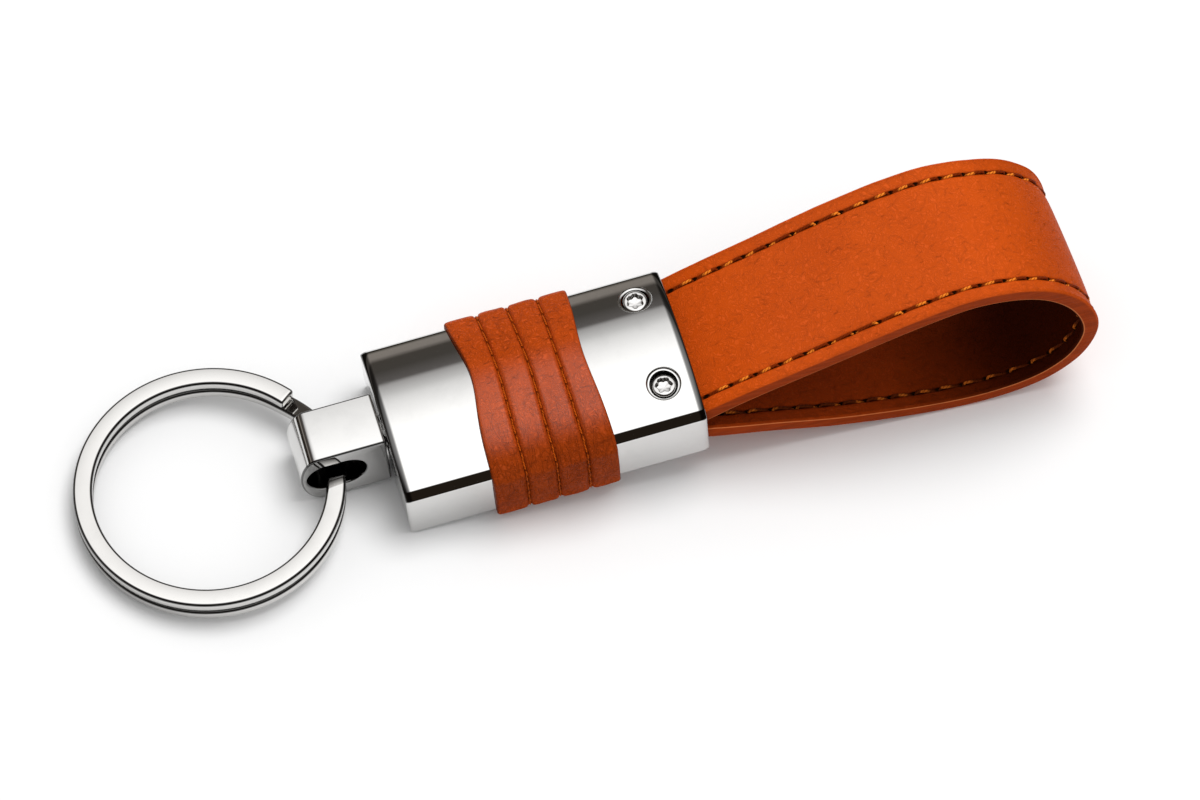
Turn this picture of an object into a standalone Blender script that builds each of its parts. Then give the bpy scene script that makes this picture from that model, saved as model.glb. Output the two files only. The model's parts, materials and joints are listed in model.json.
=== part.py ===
"""Leather keychain, lying on a table.

A flat two-turn split ring hangs in the slot of a shackle, which swivels on a headed pin in the end wall
of a metal housing. The housing clamps both legs of a two-ply leather loop with two screws, and a grooved
leather band is wrapped round its middle.

Lengths are in metres. The housing frame has +X from the ring to the loop, Z from the flat underside to the
arched top, and its zero at the ring-side end, in the middle of the underside. Everything hangs from one
empty that tips this frame, so that the housing's edge and the loop both rest on the table, and moves it so
that the origin is on the table under the middle of the whole keychain's box.
"""

import math

import bmesh
import bpy
import numpy as np

# Housing
HOUSING_LENGTH = 0.0360
HOUSING_WIDTH = 0.0206
HOUSING_SIDE_HEIGHT = 0.0073
HOUSING_SHOULDER_WIDTH = 0.0009
HOUSING_SHOULDER_RISE = 0.0009
HOUSING_CROWN_RISE = 0.0018
HOUSING_EDGE_ROUND = 0.0004
HOUSING_SIDE_WALL = 0.00115
END_WALL = 0.0020
FLOOR_WALL = 0.0013
POCKET_DEPTH = 0.0045
POCKET_LEAD = 0.0020

# Swivel
SWIVEL_HEIGHT = 0.0055
PIN_RADIUS = 0.0015
PIN_CHAMFER = 0.0002
PIN_HEAD_RADIUS = 0.0025
PIN_HEAD_HEIGHT = 0.0010
PIN_SOCKET_RADIUS = 0.0008
PIN_SOCKET_DEPTH = 0.0006
PIN_GRIP = 0.0016
WASHER_RADIUS = 0.0029
WASHER_THICKNESS = 0.0004
COLLAR_RADIUS = 0.0030
COLLAR_THICKNESS = 0.0005
RUNNING_GAP = 0.0001

# Shackle
SHACKLE_LENGTH = 0.0100
SHACKLE_WIDTH = 0.0064
SHACKLE_HEIGHT = 0.0089
SHACKLE_NOSE_DEPTH = 0.0024
SHACKLE_EDGE_ROUND = 0.00025
SLOT_LENGTH = 0.0070
SLOT_HEIGHT = 0.0053
SLOT_WALL = 0.00225

# Split ring
RING_OUTER_RADIUS = 0.01566
RING_WIRE_WIDTH = 0.00225
RING_WIRE_THICKNESS = 0.0014
RING_WIRE_CHAMFER = 0.00025
RING_TURN_GAP = 0.00042
RING_SIDE_OFFSET = 0.00087
RING_SEAT_GAP = 0.0003
RING_HINGE_LIFT = 0.00035
RING_HINGE_SHIFT = 0.00015
RING_START_DEGREES = 15.0
RING_CLIMB_DEGREES = 22.0
RING_END_GAP_DEGREES = 1.5

# Leather loop
PLY_THICKNESS = 0.0010
PLY_GAP = 0.00015
PLY_EDGE_ROUND = 0.0002
FILLER_THICKNESS = 0.0011
STRAP_SEAT_GAP = 0.00012
STRAP_SIDE_GAP = 0.00015
STRAP_END_INSET = 0.0080
LOOP_LENGTH = 0.0476
LOOP_RISE = 0.01095
LOOP_DROP = 0.0131

# Stitching of the loop
STITCH_INSET = 0.00185
STITCH_PITCH = 0.0031
STITCH_RADIUS = 0.0002
STITCH_DIP = 0.0001
CHANNEL_WIDTH = 0.0009
CHANNEL_DEPTH = 0.00058
THREAD_GAP = 0.0001
THREAD_START_GAP = 0.0004

# Clamp screws
SCREW_INSET = 0.00375
SCREW_SIDE_INSET = 0.00425
SCREW_HEAD_RADIUS = 0.0015
SCREW_HEAD_HEIGHT = 0.0012
SCREW_HEAD_CHAMFER = 0.0003
SCREW_SHANK_RADIUS = 0.0010
SCREW_SOCKET_RADIUS = 0.0009
SCREW_SOCKET_DEPTH = 0.0007
SCREW_TIP_INSET = 0.0003
COUNTERBORE_RADIUS = 0.0019
SCREW_GAP = 0.0001

# Leather band
BAND_CENTRE = 0.0178
BAND_WIDTH = 0.0144
BAND_THICKNESS = 0.0010
BAND_SEAT_GAP = 0.00012
BAND_SEAM_GAP = 0.0004
BAND_WAIST_SHARE = 0.07
BAND_CREST_SHIFT = 0.0005
BAND_GROOVE_SPACING = 0.0036
BAND_GROOVE_WIDTH = 0.0008
BAND_GROOVE_FLOOR = 0.0005
BAND_GROOVE_DEPTH = 0.0005
BAND_HUMP_DROP = 0.00014
BAND_THREAD_RADIUS = 0.00015
BAND_THREAD_PITCH = 0.0022
BAND_THREAD_DIP = 0.00005

OVERRUN = 0.0010
MERGE = 0.000001

# Counts
TURN_STEPS = 24
ARCH_STEPS = 14
NOSE_STEPS = 14
SLOT_END_STEPS = 10
RING_TURN_STEPS = 36
RING_CLIMB_STEPS = 6
LOOP_STEPS = 42
SPLINE_STEPS = 12
CORNER_STEPS_PER_TURN = 14
POINTS_PER_STITCH = 3
HEX_SIDES = 6
FULL_TURN = 2.0 * math.pi
QUARTER_TURN = 0.5 * math.pi

# The loop's outer face as shares of its length and of its rise above the legs' mid-plane
UPPER_LOOP_SHARES = [(0.095, 0.385), (0.288, 0.607), (0.441, 0.795), (0.567, 0.930), (0.683, 1.000),
                     (0.798, 0.915), (0.893, 0.690), (0.966, 0.310)]
# The tip and the lower side as shares of its length and of its drop below the same plane
LOWER_LOOP_SHARES = [(1.000, -0.090), (0.992, -0.402), (0.945, -0.709), (0.851, -0.930), (0.714, -0.998),
                     (0.546, -0.915), (0.336, -0.700), (0.158, -0.445)]

# Places that follow from the sizes above
STRAP_WIDTH = HOUSING_WIDTH - 2.0 * (HOUSING_SIDE_WALL + STRAP_SIDE_GAP)
SCREW_SPACING = HOUSING_WIDTH - 2.0 * SCREW_SIDE_INSET
LEG_THICKNESS = 2.0 * PLY_THICKNESS + PLY_GAP
STACK_HEIGHT = 2.0 * LEG_THICKNESS + FILLER_THICKNESS + 2.0 * STRAP_SEAT_GAP
CAVITY_HEIGHT = STACK_HEIGHT + 2.0 * STRAP_SEAT_GAP
CAVITY_TOP = FLOOR_WALL + CAVITY_HEIGHT
CAVITY_HALF_WIDTH = 0.5 * STRAP_WIDTH + STRAP_SIDE_GAP
LEG_MID = FLOOR_WALL + 0.5 * CAVITY_HEIGHT
LEG_HALF_STACK = 0.5 * STACK_HEIGHT
ARCH_HALF_WIDTH = 0.5 * HOUSING_WIDTH - HOUSING_SHOULDER_WIDTH
ARCH_FOOT = HOUSING_SIDE_HEIGHT + HOUSING_SHOULDER_RISE
ARCH_RADIUS = (ARCH_HALF_WIDTH ** 2 + HOUSING_CROWN_RISE ** 2) / (2.0 * HOUSING_CROWN_RISE)
ARCH_CENTRE = ARCH_FOOT + HOUSING_CROWN_RISE - ARCH_RADIUS
PIN_BORE_RADIUS = PIN_RADIUS + RUNNING_GAP
SHACKLE_REAR = -COLLAR_THICKNESS - 2.0 * RUNNING_GAP
SLOT_REAR = SHACKLE_REAR - SLOT_WALL
SLOT_FLOOR = SWIVEL_HEIGHT - 0.5 * SLOT_HEIGHT
RING_MID_RADIUS = RING_OUTER_RADIUS - 0.5 * RING_WIRE_WIDTH
RING_PITCH = RING_WIRE_THICKNESS + RING_TURN_GAP
RING_HEIGHT = RING_PITCH + RING_WIRE_THICKNESS
RING_HINGE_X = SLOT_REAR - 0.5 * SLOT_LENGTH - RING_HINGE_SHIFT
RING_REACH = RING_MID_RADIUS + RING_OUTER_RADIUS - RING_HINGE_SHIFT
RING_HINGE_Z = SWIVEL_HEIGHT + RING_HINGE_LIFT
SCREW_X = HOUSING_LENGTH - SCREW_INSET
SCREW_BORE_RADIUS = SCREW_SHANK_RADIUS + SCREW_GAP
BAND_MID_OFFSET = BAND_SEAT_GAP + 0.5 * BAND_THICKNESS


def clear_scene():
    """Removes every object that is in the file."""
    for old in list(bpy.data.objects):
        bpy.data.objects.remove(old, do_unlink=True)


def new_collection(name):
    """A collection under the scene's own."""
    made = bpy.data.collections.new(name)
    bpy.context.scene.collection.children.link(made)
    return made


def new_material(name, colour, roughness, metallic):
    """A Principled material with one colour, roughness and metallic value."""
    made = bpy.data.materials.new(name)
    made.use_nodes = True
    shader = made.node_tree.nodes["Principled BSDF"]
    shader.inputs["Base Color"].default_value = (*colour, 1.0)
    shader.inputs["Roughness"].default_value = roughness
    shader.inputs["Metallic"].default_value = metallic
    return made


clear_scene()
PARTS = new_collection("leather_keychain")
CUTTERS = new_collection("cutters")
MIRROR_METAL = new_material("mirror_plated_zinc", (0.86, 0.86, 0.85), 0.06, 1.0)
RING_METAL = new_material("plated_spring_steel", (0.80, 0.79, 0.77), 0.10, 1.0)
SCREW_METAL = new_material("plated_screw_steel", (0.74, 0.73, 0.71), 0.16, 1.0)
INNER_METAL = new_material("plain_steel", (0.56, 0.56, 0.56), 0.35, 1.0)
LOOP_LEATHER = new_material("tan_orange_leather", (0.62, 0.17, 0.035), 0.50, 0.0)
LINING_LEATHER = new_material("lining_leather", (0.48, 0.12, 0.025), 0.60, 0.0)
BAND_LEATHER = new_material("band_leather", (0.55, 0.14, 0.03), 0.45, 0.0)
FILLER_BOARD = new_material("leather_board", (0.35, 0.16, 0.07), 0.80, 0.0)
THREAD = new_material("rust_thread", (0.42, 0.11, 0.02), 0.70, 0.0)


def place(obj, parent, material=None, location=(0.0, 0.0, 0.0), rotation=(0.0, 0.0, 0.0)):
    """Puts an object at its place under its parent, among the parts."""
    obj.parent = parent
    obj.location = location
    obj.rotation_euler = rotation
    if material is not None:
        obj.data.materials.clear()
        obj.data.materials.append(material)
    return obj


def link(name, data, collection=None):
    """Makes an object for a mesh, a curve or an empty."""
    obj = bpy.data.objects.new(name, data)
    (collection or PARTS).objects.link(obj)
    return obj


def as_guide(obj):
    """Marks a cutter or a section as no piece of the object."""
    obj.hide_render = True
    obj.display_type = "WIRE"
    return obj


def smooth(obj, degrees=35.0):
    """Shades a round piece smooth between its sharp edges."""
    obj.data.shade_smooth()
    obj.data.set_sharp_from_angle(angle=math.radians(degrees))
    return obj


def poly_curve(name, loops, closed, radii=None, flat=False):
    """A curve of straight steps through each loop's points; radii scales a section along the way."""
    data = bpy.data.curves.new(name, "CURVE")
    data.dimensions = "2D" if flat else "3D"
    for loop in loops:
        spline = data.splines.new("POLY")
        points = np.zeros((len(loop), 4))
        points[:, :len(loop[0])] = np.asarray(loop)
        points[:, 3] = 1.0
        spline.points.add(len(points) - 1)
        spline.points.foreach_set("co", points.ravel())
        if radii is not None:
            spline.points.foreach_set("radius", np.asarray(radii, dtype=float))
        spline.use_cyclic_u = closed
    return data


def to_mesh(obj):
    """Turns a curve object into a welded mesh object of the same name and place."""
    bpy.context.view_layer.update()
    evaluated = obj.evaluated_get(bpy.context.evaluated_depsgraph_get())
    mesh = bpy.data.meshes.new_from_object(evaluated)
    body = bmesh.new()
    body.from_mesh(mesh)
    bmesh.ops.remove_doubles(body, verts=body.verts, dist=MERGE)
    bmesh.ops.recalc_face_normals(body, faces=body.faces)
    body.to_mesh(mesh)
    body.free()
    name = obj.name
    place_now = obj.matrix_world.copy()
    collection = obj.users_collection[0]
    bpy.data.objects.remove(obj, do_unlink=True)
    made = link(name, mesh, collection)
    made.matrix_world = place_now
    return made


def extruded(name, loops, depth, collection=None):
    """A flat outline, with its holes, extruded to a depth about its own plane, as a mesh."""
    data = poly_curve(name, loops, closed=True, flat=True)
    data.fill_mode = "BOTH"
    data.extrude = 0.5 * depth
    return to_mesh(link(name, data, collection))


def swept(name, path, section, radii=None):
    """A section carried upright along a path that lies in its own XY plane, with closed ends, as a mesh."""
    outline = poly_curve(name + "_section", [section], closed=True, flat=True)
    data = poly_curve(name, [path], closed=False, radii=radii)
    data.twist_mode = "Z_UP"
    data.bevel_mode = "OBJECT"
    data.bevel_object = as_guide(link(outline.name, outline, CUTTERS))
    data.use_fill_caps = True
    return to_mesh(link(name, data))


def thread(name, routes, radius):
    """Round threads along routes, each one unbroken tube with closed ends."""
    data = poly_curve(name, routes, closed=False)
    data.bevel_depth = radius
    data.bevel_resolution = 0
    data.use_fill_caps = True
    return to_mesh(link(name, data))


def turned(name, profile, closed, material, parent, location, rotation=(0.0, 0.0, 0.0)):
    """A profile of (radius, height) that runs down its outer side, turned about its own Z."""
    mesh = bpy.data.meshes.new(name)
    count = len(profile)
    edges = [(i, i + 1) for i in range(count - 1)]
    if closed:
        edges.append((count - 1, 0))
    mesh.from_pydata([(radius, 0.0, height) for radius, height in profile], edges, [])
    obj = link(name, mesh)
    screw = obj.modifiers.new("turn", "SCREW")
    screw.axis = "Z"
    screw.angle = FULL_TURN
    screw.steps = TURN_STEPS
    screw.render_steps = TURN_STEPS
    screw.use_merge_vertices = True
    screw.merge_threshold = MERGE
    return place(obj, parent, material, location, rotation)


def bevel(obj, width, segments=2, degrees=30.0):
    """Rounds the edges that are sharper than the angle."""
    mod = obj.modifiers.new("round_edges", "BEVEL")
    mod.width = width
    mod.segments = segments
    mod.limit_method = "ANGLE"
    mod.angle_limit = math.radians(degrees)
    return obj


def cut(obj, cutter):
    """Takes the cutter's shape out of the object."""
    mod = obj.modifiers.new("cut_" + cutter.name, "BOOLEAN")
    mod.operation = "DIFFERENCE"
    mod.object = cutter
    return obj


def cylinder_cutter(name, radius, start, end, parent, sides=TURN_STEPS):
    """A round or many-sided cutter from one point of the parent's frame to another, along X or Z."""
    start = np.array(start)
    end = np.array(end)
    length = float(np.linalg.norm(end - start))
    mesh = bpy.data.meshes.new(name)
    body = bmesh.new()
    bmesh.ops.create_cone(body, cap_ends=True, segments=sides, radius1=radius, radius2=radius, depth=length)
    body.to_mesh(mesh)
    body.free()
    along_x = abs(end[0] - start[0]) > abs(end[2] - start[2])
    turn = (0.0, QUARTER_TURN, 0.0) if along_x else (0.0, 0.0, 0.0)
    return place(as_guide(link(name, mesh, CUTTERS)), parent, None, tuple(0.5 * (start + end)), turn)


def box(name, low, high, parent, collection=None):
    """A box between two corners of the parent's frame."""
    low = np.array(low)
    high = np.array(high)
    mesh = bpy.data.meshes.new(name)
    body = bmesh.new()
    bmesh.ops.create_cube(body, size=1.0)
    bmesh.ops.scale(body, vec=tuple(high - low), verts=body.verts)
    body.to_mesh(mesh)
    body.free()
    return place(link(name, mesh, collection), parent, None, tuple(0.5 * (low + high)))


def arc(centre, radius_a, radius_b, start, end, steps):
    """Points on an elliptical arc, both ends among them."""
    angles = np.linspace(start, end, steps + 1)
    return np.stack([centre[0] + radius_a * np.cos(angles), centre[1] + radius_b * np.sin(angles)], axis=1)


def housing_section():
    """The housing's outline across its length as (y, z), from the underside's +Y corner to its -Y one."""
    half = 0.5 * HOUSING_WIDTH
    reach = math.asin(ARCH_HALF_WIDTH / ARCH_RADIUS)
    top = arc((0.0, ARCH_CENTRE), ARCH_RADIUS, ARCH_RADIUS, QUARTER_TURN - reach, QUARTER_TURN + reach,
              ARCH_STEPS)
    plus_side = [(half, 0.0), (half, HOUSING_SIDE_HEIGHT)]
    minus_side = [(-half, HOUSING_SIDE_HEIGHT), (-half, 0.0)]
    return np.vstack([plus_side, top, minus_side])


def wrapped_route(offset):
    """The housing's outline at an even distance, as a path that starts and ends at the underside's seam."""
    section = housing_section()
    ends = np.array([[0.5 * BAND_SEAM_GAP, 0.0], [-0.5 * BAND_SEAM_GAP, 0.0]])
    corners = np.vstack([ends[:1], section, ends[1:]])
    steps = np.diff(corners, axis=0)
    outward = np.stack([steps[:, 1], -steps[:, 0]], axis=1) / np.linalg.norm(steps, axis=1)[:, None]
    angles = np.unwrap(np.arctan2(outward[:, 1], outward[:, 0]))
    route = [corners[:1] + offset * outward[:1]]
    for corner, before, after in zip(corners[1:-1], angles[:-1], angles[1:]):
        count = int(round(CORNER_STEPS_PER_TURN * (after - before) / FULL_TURN))
        if count == 0:
            before = after = 0.5 * (before + after)
        route.append(arc(corner, offset, offset, before, after, count))
    route.append(corners[-1:] + offset * outward[-1:])
    return np.vstack(route)


def crest(route):
    """How near each point of the band's way is to the crown's middle: none at the sides, one on top."""
    across = np.clip(1.0 - (route[:, 0] / (0.5 * HOUSING_WIDTH)) ** 2, 0.0, 1.0)
    return np.where(route[:, 1] > HOUSING_SIDE_HEIGHT, across, 0.0)


def over_crown(route, along):
    """The band's way with its place along the housing: drawn in and pushed to the loop over the crown."""
    placed = along * (1.0 - BAND_WAIST_SHARE * crest(route)) + BAND_CREST_SHIFT * crest(route)
    return np.column_stack([route, placed])


def spline_through(points, steps):
    """A smooth path through the points, each span a cubic whose slopes follow the neighbouring points."""
    ends = np.vstack([2.0 * points[:1] - points[1:2], points, 2.0 * points[-1:] - points[-2:-1]])
    share = np.linspace(0.0, 1.0, steps, endpoint=False)[:, None]
    spans = []
    for before, start, end, after in zip(ends[:-3], ends[1:-2], ends[2:-1], ends[3:]):
        slope_a = 0.5 * (end - before)
        slope_b = 0.5 * (after - start)
        bend = 3.0 * (end - start) - 2.0 * slope_a - slope_b
        rest = 2.0 * (start - end) + slope_a + slope_b
        spans.append(start + share * (slope_a + share * (bend + share * rest)))
    return np.vstack(spans + [points[-1:]])


def resampled(path, count):
    """The same path with evenly spaced points."""
    walked = np.concatenate([[0.0], np.cumsum(np.linalg.norm(np.diff(path, axis=0), axis=1))])
    places = np.linspace(0.0, walked[-1], count + 1)
    return np.stack([np.interp(places, walked, path[:, i]) for i in range(path.shape[1])], axis=1)


def loop_outline():
    """The loop's outer face outside the housing as (x, z), from the upper leg round the tip and back."""
    start = [(HOUSING_LENGTH, LEG_MID + LEG_HALF_STACK)]
    upper = [(HOUSING_LENGTH + x * LOOP_LENGTH, LEG_MID + z * LOOP_RISE) for x, z in UPPER_LOOP_SHARES]
    lower = [(HOUSING_LENGTH + x * LOOP_LENGTH, LEG_MID + z * LOOP_DROP) for x, z in LOWER_LOOP_SHARES]
    end = [(HOUSING_LENGTH, LEG_MID - LEG_HALF_STACK)]
    return resampled(spline_through(np.array(start + upper + lower + end), SPLINE_STEPS), LOOP_STEPS)


def inward(path, depth):
    """The path moved to its right, which is into the loop, by a depth."""
    slopes = np.gradient(path, axis=0)
    slopes /= np.linalg.norm(slopes, axis=1)[:, None]
    return path + depth * np.stack([slopes[:, 1], -slopes[:, 0]], axis=1)


def leg_route(depth):
    """The whole strap's path at a depth under its outer face, both legs' ends in the housing among it."""
    loop = inward(loop_outline(), depth)
    half = LEG_HALF_STACK - depth
    mouth = HOUSING_LENGTH
    return np.vstack([[(STRAP_END_INSET, LEG_MID + half), (mouth, LEG_MID + half)], loop[1:-1],
                      [(mouth, LEG_MID - half), (STRAP_END_INSET, LEG_MID - half)]])


def ply_section(outer_face):
    """A ply's section as (depth, width) with rounded edges and two stitch channels in its showing face."""
    half = 0.5 * PLY_THICKNESS
    edge = 0.5 * STRAP_WIDTH
    row = edge - STITCH_INSET
    side = []
    for sign in (1.0, -1.0):
        lip = [(half, row + 0.5 * CHANNEL_WIDTH), (half - CHANNEL_DEPTH, row + 0.25 * CHANNEL_WIDTH),
               (half - CHANNEL_DEPTH, row - 0.25 * CHANNEL_WIDTH), (half, row - 0.5 * CHANNEL_WIDTH)]
        edge_points = [(half - PLY_EDGE_ROUND, edge), (half, edge - PLY_EDGE_ROUND)] + lip
        side += [(depth, sign * width) for depth, width in edge_points][::int(sign)]
    flip = -1.0 if outer_face else 1.0
    outline = [(-half, edge)] + side + [(-half, -edge)]
    return [(flip * depth, width) for depth, width in outline][::int(flip)]


def band_section():
    """The band's section as (depth, width): a flat back and four soft humps between three grooves."""
    half = 0.5 * BAND_THICKNESS
    edge = 0.5 * BAND_WIDTH
    lip = 0.5 * BAND_GROOVE_WIDTH
    floor = 0.5 * BAND_GROOVE_FLOOR
    grooves = [-BAND_GROOVE_SPACING, 0.0, BAND_GROOVE_SPACING]
    starts = [-edge] + [groove + lip for groove in grooves]
    stops = [groove - lip for groove in grooves] + [edge]
    front = []
    for number, (start, stop) in enumerate(zip(starts, stops)):
        front += [(half - BAND_HUMP_DROP, start), (half, start + lip), (half, stop - lip),
                  (half - BAND_HUMP_DROP, stop)]
        if number < len(grooves):
            front += [(half - BAND_GROOVE_DEPTH, grooves[number] - floor),
                      (half - BAND_GROOVE_DEPTH, grooves[number] + floor)]
    return [(-half, edge), (-half, -edge)] + front


def stitched(route, pitch, dip):
    """A thread's route of stitches: it dips by the given height at every hole between two stitches."""
    walked = np.concatenate([[0.0], np.cumsum(np.linalg.norm(np.diff(route[0], axis=0), axis=1))])
    count = max(int(walked[-1] / pitch), 1)
    places = np.linspace(0.0, walked[-1], count * POINTS_PER_STITCH + 1)
    sink = np.where(np.arange(len(places)) % POINTS_PER_STITCH == 0, 1.0, 0.0)[:, None]
    high, low = [np.stack([np.interp(places, walked, line[:, i]) for i in range(line.shape[1])], axis=1)
                 for line in route]
    return high + sink * (low - high)


def rest_tilt():
    """The angle at which the housing's edge and the loop both touch the table."""
    outline = loop_outline()
    edge = HOUSING_EDGE_ROUND
    return float(np.max(np.arctan2(-outline[:, 1], outline[:, 0] - edge)))


def ring_tilt(tilt):
    """How far the ring's plane turns down towards the housing, with its far side on the table."""
    seat = SLOT_FLOOR + RING_SEAT_GAP
    lifted = seat * math.cos(tilt) + (RING_HINGE_X - HOUSING_EDGE_ROUND) * math.sin(tilt)
    return tilt - math.asin(lifted / RING_REACH)


def make_frame(tilt):
    """The empty that carries the whole keychain, tipped so that it lies on the table."""
    frame = link("keychain_axis", None)
    frame.rotation_euler = (0.0, -tilt, 0.0)
    return frame


def set_down(frame):
    """Moves the whole keychain so that the origin is on the table under the middle of its box."""
    bpy.context.view_layer.update()
    graph = bpy.context.evaluated_depsgraph_get()
    corners = []
    for piece in PARTS.objects:
        if piece.type != "MESH":
            continue
        mesh = piece.evaluated_get(graph).to_mesh()
        points = np.array([vertex.co for vertex in mesh.vertices])
        turn = np.array(piece.matrix_world)
        points = points @ turn[:3, :3].T + turn[:3, 3]
        corners += [points.min(axis=0), points.max(axis=0)]
    low = np.min(corners, axis=0)
    high = np.max(corners, axis=0)
    middle = 0.5 * (low + high)
    frame.location = (-middle[0], -middle[1], -low[2])


def make_housing(frame):
    """The metal shell: arched top, flat underside, a cavity for the strap and a bore for the swivel."""
    shell = extruded("housing", [housing_section()], HOUSING_LENGTH)
    place(shell, frame, MIRROR_METAL, (0.5 * HOUSING_LENGTH, 0.0, 0.0), (QUARTER_TURN, 0.0, QUARTER_TURN))
    bevel(shell, HOUSING_EDGE_ROUND)
    cavity = box("strap_cavity", (END_WALL + POCKET_LEAD, -CAVITY_HALF_WIDTH, FLOOR_WALL),
                 (HOUSING_LENGTH + OVERRUN, CAVITY_HALF_WIDTH, CAVITY_TOP), frame, CUTTERS)
    cut(shell, as_guide(cavity))
    pocket_radius = WASHER_RADIUS + 2.0 * RUNNING_GAP
    cut(shell, cylinder_cutter("swivel_pocket", pocket_radius, (END_WALL, 0.0, SWIVEL_HEIGHT),
                               (END_WALL + POCKET_DEPTH, 0.0, SWIVEL_HEIGHT), frame))
    cut(shell, cylinder_cutter("swivel_bore", PIN_BORE_RADIUS, (-OVERRUN, 0.0, SWIVEL_HEIGHT),
                               (END_WALL + OVERRUN, 0.0, SWIVEL_HEIGHT), frame))
    for name, y in screw_places():
        head_top = screw_head_top(y)
        cut(shell, cylinder_cutter("counterbore_" + name, COUNTERBORE_RADIUS, (SCREW_X, y, screw_seat(y)),
                                   (SCREW_X, y, head_top + HOUSING_CROWN_RISE + OVERRUN), frame))
        cut(shell, cylinder_cutter("screw_bore_" + name, SCREW_BORE_RADIUS, (SCREW_X, y, -OVERRUN),
                                   (SCREW_X, y, head_top), frame))
    return smooth(shell)


def screw_places():
    """The two screws' names and places across the housing."""
    return [("far", 0.5 * SCREW_SPACING), ("near", -0.5 * SCREW_SPACING)]


def screw_head_top(y):
    """The height of the arched top over a screw, where its head ends."""
    return ARCH_CENTRE + math.sqrt(ARCH_RADIUS ** 2 - y ** 2)


def screw_seat(y):
    """The floor of a screw's counterbore."""
    return screw_head_top(y) - SCREW_HEAD_HEIGHT - SCREW_GAP


def make_screw(name, y, frame):
    """A cap screw with a six-sided socket, from its counterbore down into the housing's floor."""
    top = screw_head_top(y)
    seat = screw_seat(y) + SCREW_GAP
    profile = [(0.0, top), (SCREW_HEAD_RADIUS - SCREW_HEAD_CHAMFER, top),
               (SCREW_HEAD_RADIUS, top - SCREW_HEAD_CHAMFER), (SCREW_HEAD_RADIUS, seat),
               (SCREW_SHANK_RADIUS, seat),
               (SCREW_SHANK_RADIUS, SCREW_TIP_INSET + SCREW_HEAD_CHAMFER),
               (SCREW_SHANK_RADIUS - SCREW_HEAD_CHAMFER, SCREW_TIP_INSET), (0.0, SCREW_TIP_INSET)]
    screw = turned("clamp_screw_" + name, profile, False, SCREW_METAL, frame, (SCREW_X, y, 0.0))
    floor = (SCREW_X, y, top - SCREW_SOCKET_DEPTH)
    mouth = (SCREW_X, y, top + OVERRUN)
    cut(screw, cylinder_cutter("screw_socket_" + name, SCREW_SOCKET_RADIUS, floor, mouth, frame, HEX_SIDES))
    return smooth(screw)


def make_swivel(frame):
    """The pin in the end wall, its washer inside and the collar between the housing and the shackle."""
    head_start = END_WALL + WASHER_THICKNESS + 2.0 * RUNNING_GAP
    head_end = head_start + PIN_HEAD_HEIGHT
    tip = -SHACKLE_REAR + PIN_GRIP
    profile = [(0.0, tip), (PIN_RADIUS - PIN_CHAMFER, tip), (PIN_RADIUS, tip - PIN_CHAMFER),
               (PIN_RADIUS, -head_start), (PIN_HEAD_RADIUS, -head_start),
               (PIN_HEAD_RADIUS, PIN_CHAMFER - head_end),
               (PIN_HEAD_RADIUS - PIN_CHAMFER, -head_end), (0.0, -head_end)]
    towards_ring = (0.0, -QUARTER_TURN, 0.0)
    pin = turned("swivel_pin", profile, False, INNER_METAL, frame, (0.0, 0.0, SWIVEL_HEIGHT), towards_ring)
    floor = (head_end - PIN_SOCKET_DEPTH, 0.0, SWIVEL_HEIGHT)
    mouth = (head_end + OVERRUN, 0.0, SWIVEL_HEIGHT)
    cut(pin, cylinder_cutter("pin_socket", PIN_SOCKET_RADIUS, floor, mouth, frame, HEX_SIDES))
    smooth(pin)
    washer_start = END_WALL + RUNNING_GAP
    collar_start = -COLLAR_THICKNESS - RUNNING_GAP
    for name, radius, start, thickness, finish in (
            ("thrust_washer", WASHER_RADIUS, washer_start, WASHER_THICKNESS, INNER_METAL),
            ("swivel_collar", COLLAR_RADIUS, collar_start, COLLAR_THICKNESS, MIRROR_METAL)):
        ring = [(radius, 0.0), (radius, -thickness), (PIN_BORE_RADIUS, -thickness), (PIN_BORE_RADIUS, 0.0)]
        smooth(turned(name, ring, True, finish, frame, (start, 0.0, SWIVEL_HEIGHT), towards_ring))


def make_shackle(frame):
    """The swivelling eye: a block with a rounded nose and an oblong slot across it."""
    half = 0.5 * SHACKLE_HEIGHT
    nose_centre = SHACKLE_REAR - SHACKLE_LENGTH + SHACKLE_NOSE_DEPTH
    nose = arc((nose_centre, 0.0), SHACKLE_NOSE_DEPTH, half, QUARTER_TURN, 3.0 * QUARTER_TURN, NOSE_STEPS)
    outline = np.vstack([nose, [(SHACKLE_REAR, -half), (SHACKLE_REAR, half)]])
    radius = 0.5 * SLOT_HEIGHT
    front = arc((SLOT_REAR - SLOT_LENGTH + radius, 0.0), radius, radius, QUARTER_TURN, 3.0 * QUARTER_TURN,
                SLOT_END_STEPS)
    rear = arc((SLOT_REAR - radius, 0.0), radius, radius, -QUARTER_TURN, QUARTER_TURN, SLOT_END_STEPS)
    block = extruded("shackle", [outline, np.vstack([front, rear])], SHACKLE_WIDTH)
    place(block, frame, MIRROR_METAL, (0.0, 0.0, SWIVEL_HEIGHT), (QUARTER_TURN, 0.0, 0.0))
    bevel(block, SHACKLE_EDGE_ROUND)
    floor = (SHACKLE_REAR - PIN_GRIP - RUNNING_GAP, 0.0, SWIVEL_HEIGHT)
    mouth = (SHACKLE_REAR + OVERRUN, 0.0, SWIVEL_HEIGHT)
    cut(block, cylinder_cutter("shackle_bore", PIN_BORE_RADIUS, floor, mouth, frame))
    return smooth(block)


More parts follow.
